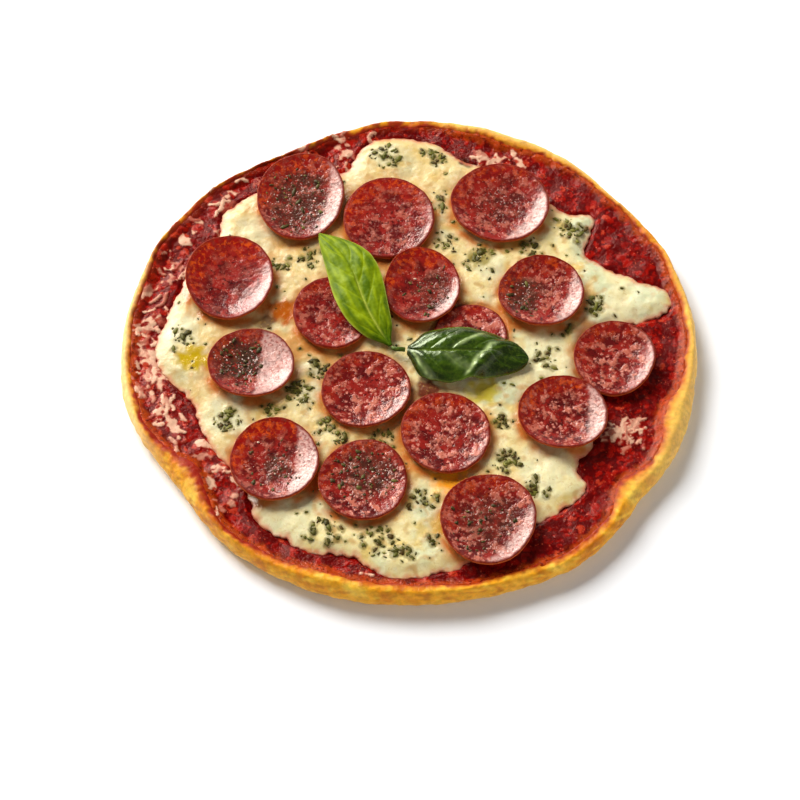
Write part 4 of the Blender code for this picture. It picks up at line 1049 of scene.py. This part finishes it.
def make_leaf(name, leaf, look):
    """A thin veined sheet: a pale midrib, faint side veins, puffed between them, and a few soft creases."""
    long_cells, wide_cells = 160, 80
    along, across = np.meshgrid(np.linspace(0, 1, long_cells + 1), np.linspace(-1, 1, wide_cells + 1),
                                indexing="ij")
    x, y, z, shape = leaf_surface(leaf, along, across)
    off = np.abs(across)
    side = np.where(across > 0, 1, 0)
    vein_place = (along - 0.3 * off ** 1.3 + 0.05 * side) * LEAF_VEINS
    vein = np.exp(-(((vein_place - np.round(vein_place)) / 0.07) ** 2)) * smooth(0.02, 0.12, off)
    vein *= smooth(0.95, 0.6, off) * smooth(0.0, 0.1, along)
    midrib = np.exp(-((across * 0.5 * leaf["width"] * np.maximum(shape, 0.2) / 0.5) ** 2))
    quilt = np.cos(2 * math.pi * (vein_place - 0.5)) * off * (1 - off) * 2 * shape
    z = z + LEAF_QUILT * quilt - 0.3 * vein * shape
    z -= 0.6 * midrib * smooth(0.0, 0.1, along) * smooth(0.85, 0.5, along)
    for place, slant, width, height in leaf["folds"]:
        z += height * np.exp(-(((along - place - slant * across) / width) ** 2)) * shape
    z += (0.3 * lumps(x, y, 5.0, 79) + 0.14 * lumps(x, y, 2.2, 80)) * shape
    thick = 0.5 * LEAF_THICKNESS * np.clip(1.2 - off ** 6, 0.35, 1.0)
    upper = np.stack([x, y, z + thick], axis=-1).reshape(-1, 3)
    lower = np.stack([x, y, z - thick], axis=-1).reshape(-1, 3)
    wide = wide_cells + 1
    first = (np.arange(long_cells)[:, None] * wide + np.arange(wide_cells)[None, :]).ravel()
    quads = np.stack([first, first + 1, first + wide + 1, first + wide], axis=-1)
    count = len(upper)
    border = list(range(wide)) + [i * wide + wide - 1 for i in range(1, long_cells + 1)]
    border += [long_cells * wide + j for j in range(wide - 2, -1, -1)]
    border += [i * wide for i in range(long_cells - 1, 0, -1)]
    faces = quads[:, ::-1].tolist() + (quads + count).tolist()
    faces += [(a, b, b + count, a + count) for a, b in zip(border, border[1:] + border[:1])]
    plain, light, dark, rib = leaf["tones"]
    streak = lumps(along * LEAF_STREAKS - 2.0 * off, across * LEAF_STREAKS, 1.0, 81)
    streak += 0.4 * lumps(x, y, 6.0, 83)
    tones = plain_tones(plain, count)
    tones = tinted(tones, light, smooth(0.0, 0.6, streak).ravel() * leaf["streaked"])
    tones = tinted(tones, dark, smooth(0.0, -0.6, streak).ravel() * leaf["streaked"])
    # Painted shade past the big fold, towards the tip.
    tones = tinted(tones, dark, smooth(0.66, 0.78, along + 0.15 * across).ravel() * leaf["painted_shade_tip"])
    tones = tinted(tones, dark, smooth(0.2, 0.02, along + 0.05 * lumps(x, y, 3.0, 84)).ravel() * 0.95)
    tones = tinted(tones, light, vein.ravel() * 0.5)
    tones = tinted(tones, rib, (midrib * smooth(0.66, 0.4, along) * smooth(0.02, 0.14, along)).ravel() * 0.6)
    tones = tinted(tones, rib, (smooth(0.93, 1.0, off) * smooth(0.05, 0.2, along)).ravel() * 0.55)
    # Painted highlights: pale streaks on the leaf.
    for place, slant, width, start, end, strength in leaf["painted_glints"]:
        wander = 0.02 * lumps(x, y, 6.0, 85)
        band = np.exp(-(((along - place - slant * across + wander) / width) ** 2))
        band *= smooth(start - 0.1, start + 0.1, across) * smooth(end + 0.1, end - 0.1, across)
        band *= 0.7 + 0.5 * lumps(x, y, 2.5, 86)
        tones = tinted(tones, leaf["painted_glint_tone"], band.ravel() * strength)
    add_piece(f"{name}_veined", np.concatenate([upper, lower]), faces, look, [name],
              np.concatenate([tones, tones]))


def make_stem():
    """The stalk: a round tube with closed ends."""
    sides, steps = 14, 24
    knots = np.array(STEM_POINTS)
    points = []
    for k in range(steps + 1):
        place = k / steps * (len(knots) - 1)
        i = min(int(place), len(knots) - 2)
        near, t = span(knots, i), place - i
        middle = catmull_rom(*near, t)
        ahead = catmull_rom(*near, min(t + 0.02, 1.0)) - catmull_rom(*near, max(t - 0.02, 0.0))
        ahead /= np.linalg.norm(ahead)
        across = np.cross(ahead, (0, 0, 1))
        across /= np.linalg.norm(across)
        up = np.cross(across, ahead)
        for j in range(sides):
            turn = 2 * math.pi * j / sides
            points.append(middle + STEM_RADIUS * (math.cos(turn) * across + math.sin(turn) * up))
    tones = plain_tones((62, 80, 20), len(points))
    look = leaf_look("basil_stem", 0.45, 0.4, 0.1, 0.16)
    faces = closed_rings(steps + 1, sides)
    add_piece("basil_stem_round", points, faces, look, ["basil_stem"], tones)


def herb_places(outline):
    """Where herb flakes lie on the cheese, as (x, y, size): dense clusters and a few strays."""
    draw = np.random.default_rng(SEED + 1)
    places = []
    for x, y, spread, count in CHEESE_HERBS:
        for _ in range(6 * count):
            reach, turn = 1.1 * spread * draw.random() ** 0.7, draw.uniform(0, 2 * math.pi)
            size = draw.uniform(0.7, 1.4) if draw.random() < 0.4 else draw.uniform(0.3, 0.7)
            places.append((x + reach * math.cos(turn), y + reach * math.sin(turn), size))
    places += [(*draw.uniform(-115, 115, 2), draw.uniform(0.25, 0.9)) for _ in range(STRAY_HERBS)]
    x, y, size = np.array(places).T
    keep = (depth_inside(x, y, outline) > 1.5) & (around_slices(x, y)[0] > 0.5)
    return x[keep], y[keep], size[keep]


def make_flakes(outline, places):
    """Dried herb flakes: crumpled, pointed chips on the cheese, and chips and crumbs on some slices."""
    draw = np.random.default_rng(SEED + 3)
    x, y, size = places
    seats = [(*seat, "leaf") for seat in zip(x, y, cheese_top(x, y, depth_inside(x, y, outline)), size)]
    for number, count in SLICE_HERBS.items():
        middle_x, middle_y, width, depth = SLICES[number - 1][:4]
        shift_x, shift_y = SLICE_HERB_SHIFT[number]
        for _ in range(8 * count):
            reach, turn = 0.4 * draw.random() ** 0.6, draw.uniform(0, 2 * math.pi)
            x = middle_x + shift_x + reach * width * math.cos(turn)
            y = middle_y + shift_y + reach * depth * math.sin(turn)
            share = float(slice_share(number - 1, x, y))
            if share < 0.85:
                turn = math.atan2(y - middle_y, x - middle_x)
                size = draw.uniform(0.6, 1.2) if draw.random() < 0.3 else draw.uniform(0.25, 0.6)
                height = slice_underside(number - 1, x, y, share, turn) + SLICE_THICKNESS
                seats.append((x, y, height, size, "crumb" if draw.random() < 0.3 else "pepper"))
    points, faces, tones = [], [], []
    for x, y, z, size, kind in seats:
        lean = draw.uniform(-0.25, 0.25, 2)
        spin, sides = draw.uniform(0, 2 * math.pi), int(draw.integers(5, 8))
        stretch = draw.uniform(1.0, 2.3)
        fold = draw.uniform(-0.3, 0.3)
        colour = HERB_COLOURS[kind][draw.choice(len(HERB_SHARES), p=HERB_SHARES)]
        colour = srgb(*colour) * draw.uniform(0.75, 1.15)
        if kind == "crumb":
            size, stretch = 0.6 * size, 1.2
        first = len(points)
        reaches = size * draw.uniform(0.5, 1.2, sides)
        for lift in (-0.2, 0.1):
            for k in range(sides):
                turn = 2 * math.pi * k / sides
                along, across = stretch * reaches[k] * math.cos(turn), reaches[k] * math.sin(turn)
                at_x = along * math.cos(spin) - across * math.sin(spin)
                at_y = along * math.sin(spin) + across * math.cos(spin)
                rise = 0.12 + lift + at_x * lean[0] + at_y * lean[1] + fold * abs(across)
                points.append((x + at_x, y + at_y, z + rise))
        points += [(x, y, z - 0.1), (x, y, z + 0.28)]
        low, high = first + 2 * sides, first + 2 * sides + 1
        for k in range(sides):
            a, b = first + k, first + (k + 1) % sides
            faces += [(a, b, b + sides, a + sides), (b, a, low), (a + sides, b + sides, high)]
        tones += [colour] * (2 * sides + 2)
    add_piece("herb_flakes", points, faces, herb_look(), [], np.array(tones))


def stain_map(places):
    """Where oil has drawn colour out of the herb flakes."""
    made = ReliefMap()
    for x, y, size in zip(*places):
        made.stamp(x, y, 0.9 + 1.4 * size, 0.9 + 1.4 * size, 0.0, min(1.0, 0.15 + 0.8 * size), 1.0)
    return made


def make_stage():
    """A pale floor just under the pizza."""
    size, level = FLOOR_SIZE
    mesh = bpy.data.meshes.new("floor")
    corners = [(size * x, size * y, level) for x, y in ((-1, -1), (1, -1), (1, 1), (-1, 1))]
    mesh.from_pydata(corners, [], [(0, 1, 2, 3)])
    look = Look("pale_floor", Roughness=0.8)
    grain = look.patches((40.0,), (0.3, 0.7), (0.0, 0.04))
    colour = look.mix(grain, (250, 250, 250), (240, 240, 240))
    mesh.materials.append(look.finish(colour, ((look.noise(6.0), 0.02),)))
    floor = bpy.data.objects.new("floor", mesh)
    bpy.context.scene.collection.objects.link(floor)


def add_light(name, direction, distance, size, power, unseen):
    """A soft box facing the pizza, which gives no light of the unseen kind."""
    data = bpy.data.lights.new(name, "AREA")
    data.shape = "RECTANGLE"
    data.size, data.size_y = size
    data.energy = power
    light = bpy.data.objects.new(name, data)
    towards = Vector(direction).normalized()
    light.location = towards * distance
    light.rotation_mode = "QUATERNION"
    light.rotation_quaternion = towards.to_track_quat("Z", "Y")
    setattr(light, f"visible_{unseen}", False)
    bpy.context.scene.collection.objects.link(light)


def make_lights():
    """Big soft boxes low behind on the left, weak fill from the front, and a studio that is pale low down."""
    for name, settings in LIGHTS.items():
        add_light(name, *settings)
    world = bpy.data.worlds.new("studio")
    world.use_nodes = True
    nodes, links = world.node_tree.nodes, world.node_tree.links
    place = nodes.new("ShaderNodeTexCoord")
    parts = nodes.new("ShaderNodeSeparateXYZ")
    fall = nodes.new("ShaderNodeMapRange")
    for socket, number in (("From Min", 0.1), ("From Max", 0.45), ("To Min", 0.8), ("To Max", 0.1)):
        fall.inputs[socket].default_value = number
    links.new(place.outputs["Generated"], parts.inputs[0])
    links.new(parts.outputs["Z"], fall.inputs["Value"])
    links.new(fall.outputs["Result"], nodes["Background"].inputs["Strength"])
    nodes["Background"].inputs["Color"].default_value = (1.0, 1.0, 1.0, 1.0)
    bpy.context.scene.world = world
    bpy.context.scene.view_settings.view_transform = "Standard"


def make_camera():
    data = bpy.data.cameras.new("camera")
    data.lens = CAMERA_LENS
    data.sensor_width = CAMERA_SENSOR
    camera = bpy.data.objects.new("camera", data)
    rise = math.radians(CAMERA_ELEVATION)
    back = Vector((0, -math.cos(rise), math.sin(rise)))
    camera.location = (Vector(CAMERA_AIM) + back * CAMERA_DISTANCE) * MM
    camera.rotation_mode = "QUATERNION"
    camera.rotation_quaternion = back.to_track_quat("Z", "Y")
    bpy.context.scene.collection.objects.link(camera)
    bpy.context.scene.camera = camera


def main():
    make_camera()
    make_lights()
    make_stage()
    outline = closed_curve(CHEESE_OUTLINE, 1.0)
    places = herb_places(outline)
    shreds = shred_map(outline)
    make_crust(shreds)
    make_sauce(outline, shreds)
    make_cheese(outline, stain_map(places))
    make_slices()
    make_leaf("basil_leaf_a", LEAF_A, leaf_look("basil_fresh", 0.5, 0.14, 0.15, 0.14))
    make_leaf("basil_leaf_b", LEAF_B, leaf_look("basil_glossy", 0.24, 0.8, 0.09, 0.08))
    make_stem()
    make_flakes(outline, places)


main()
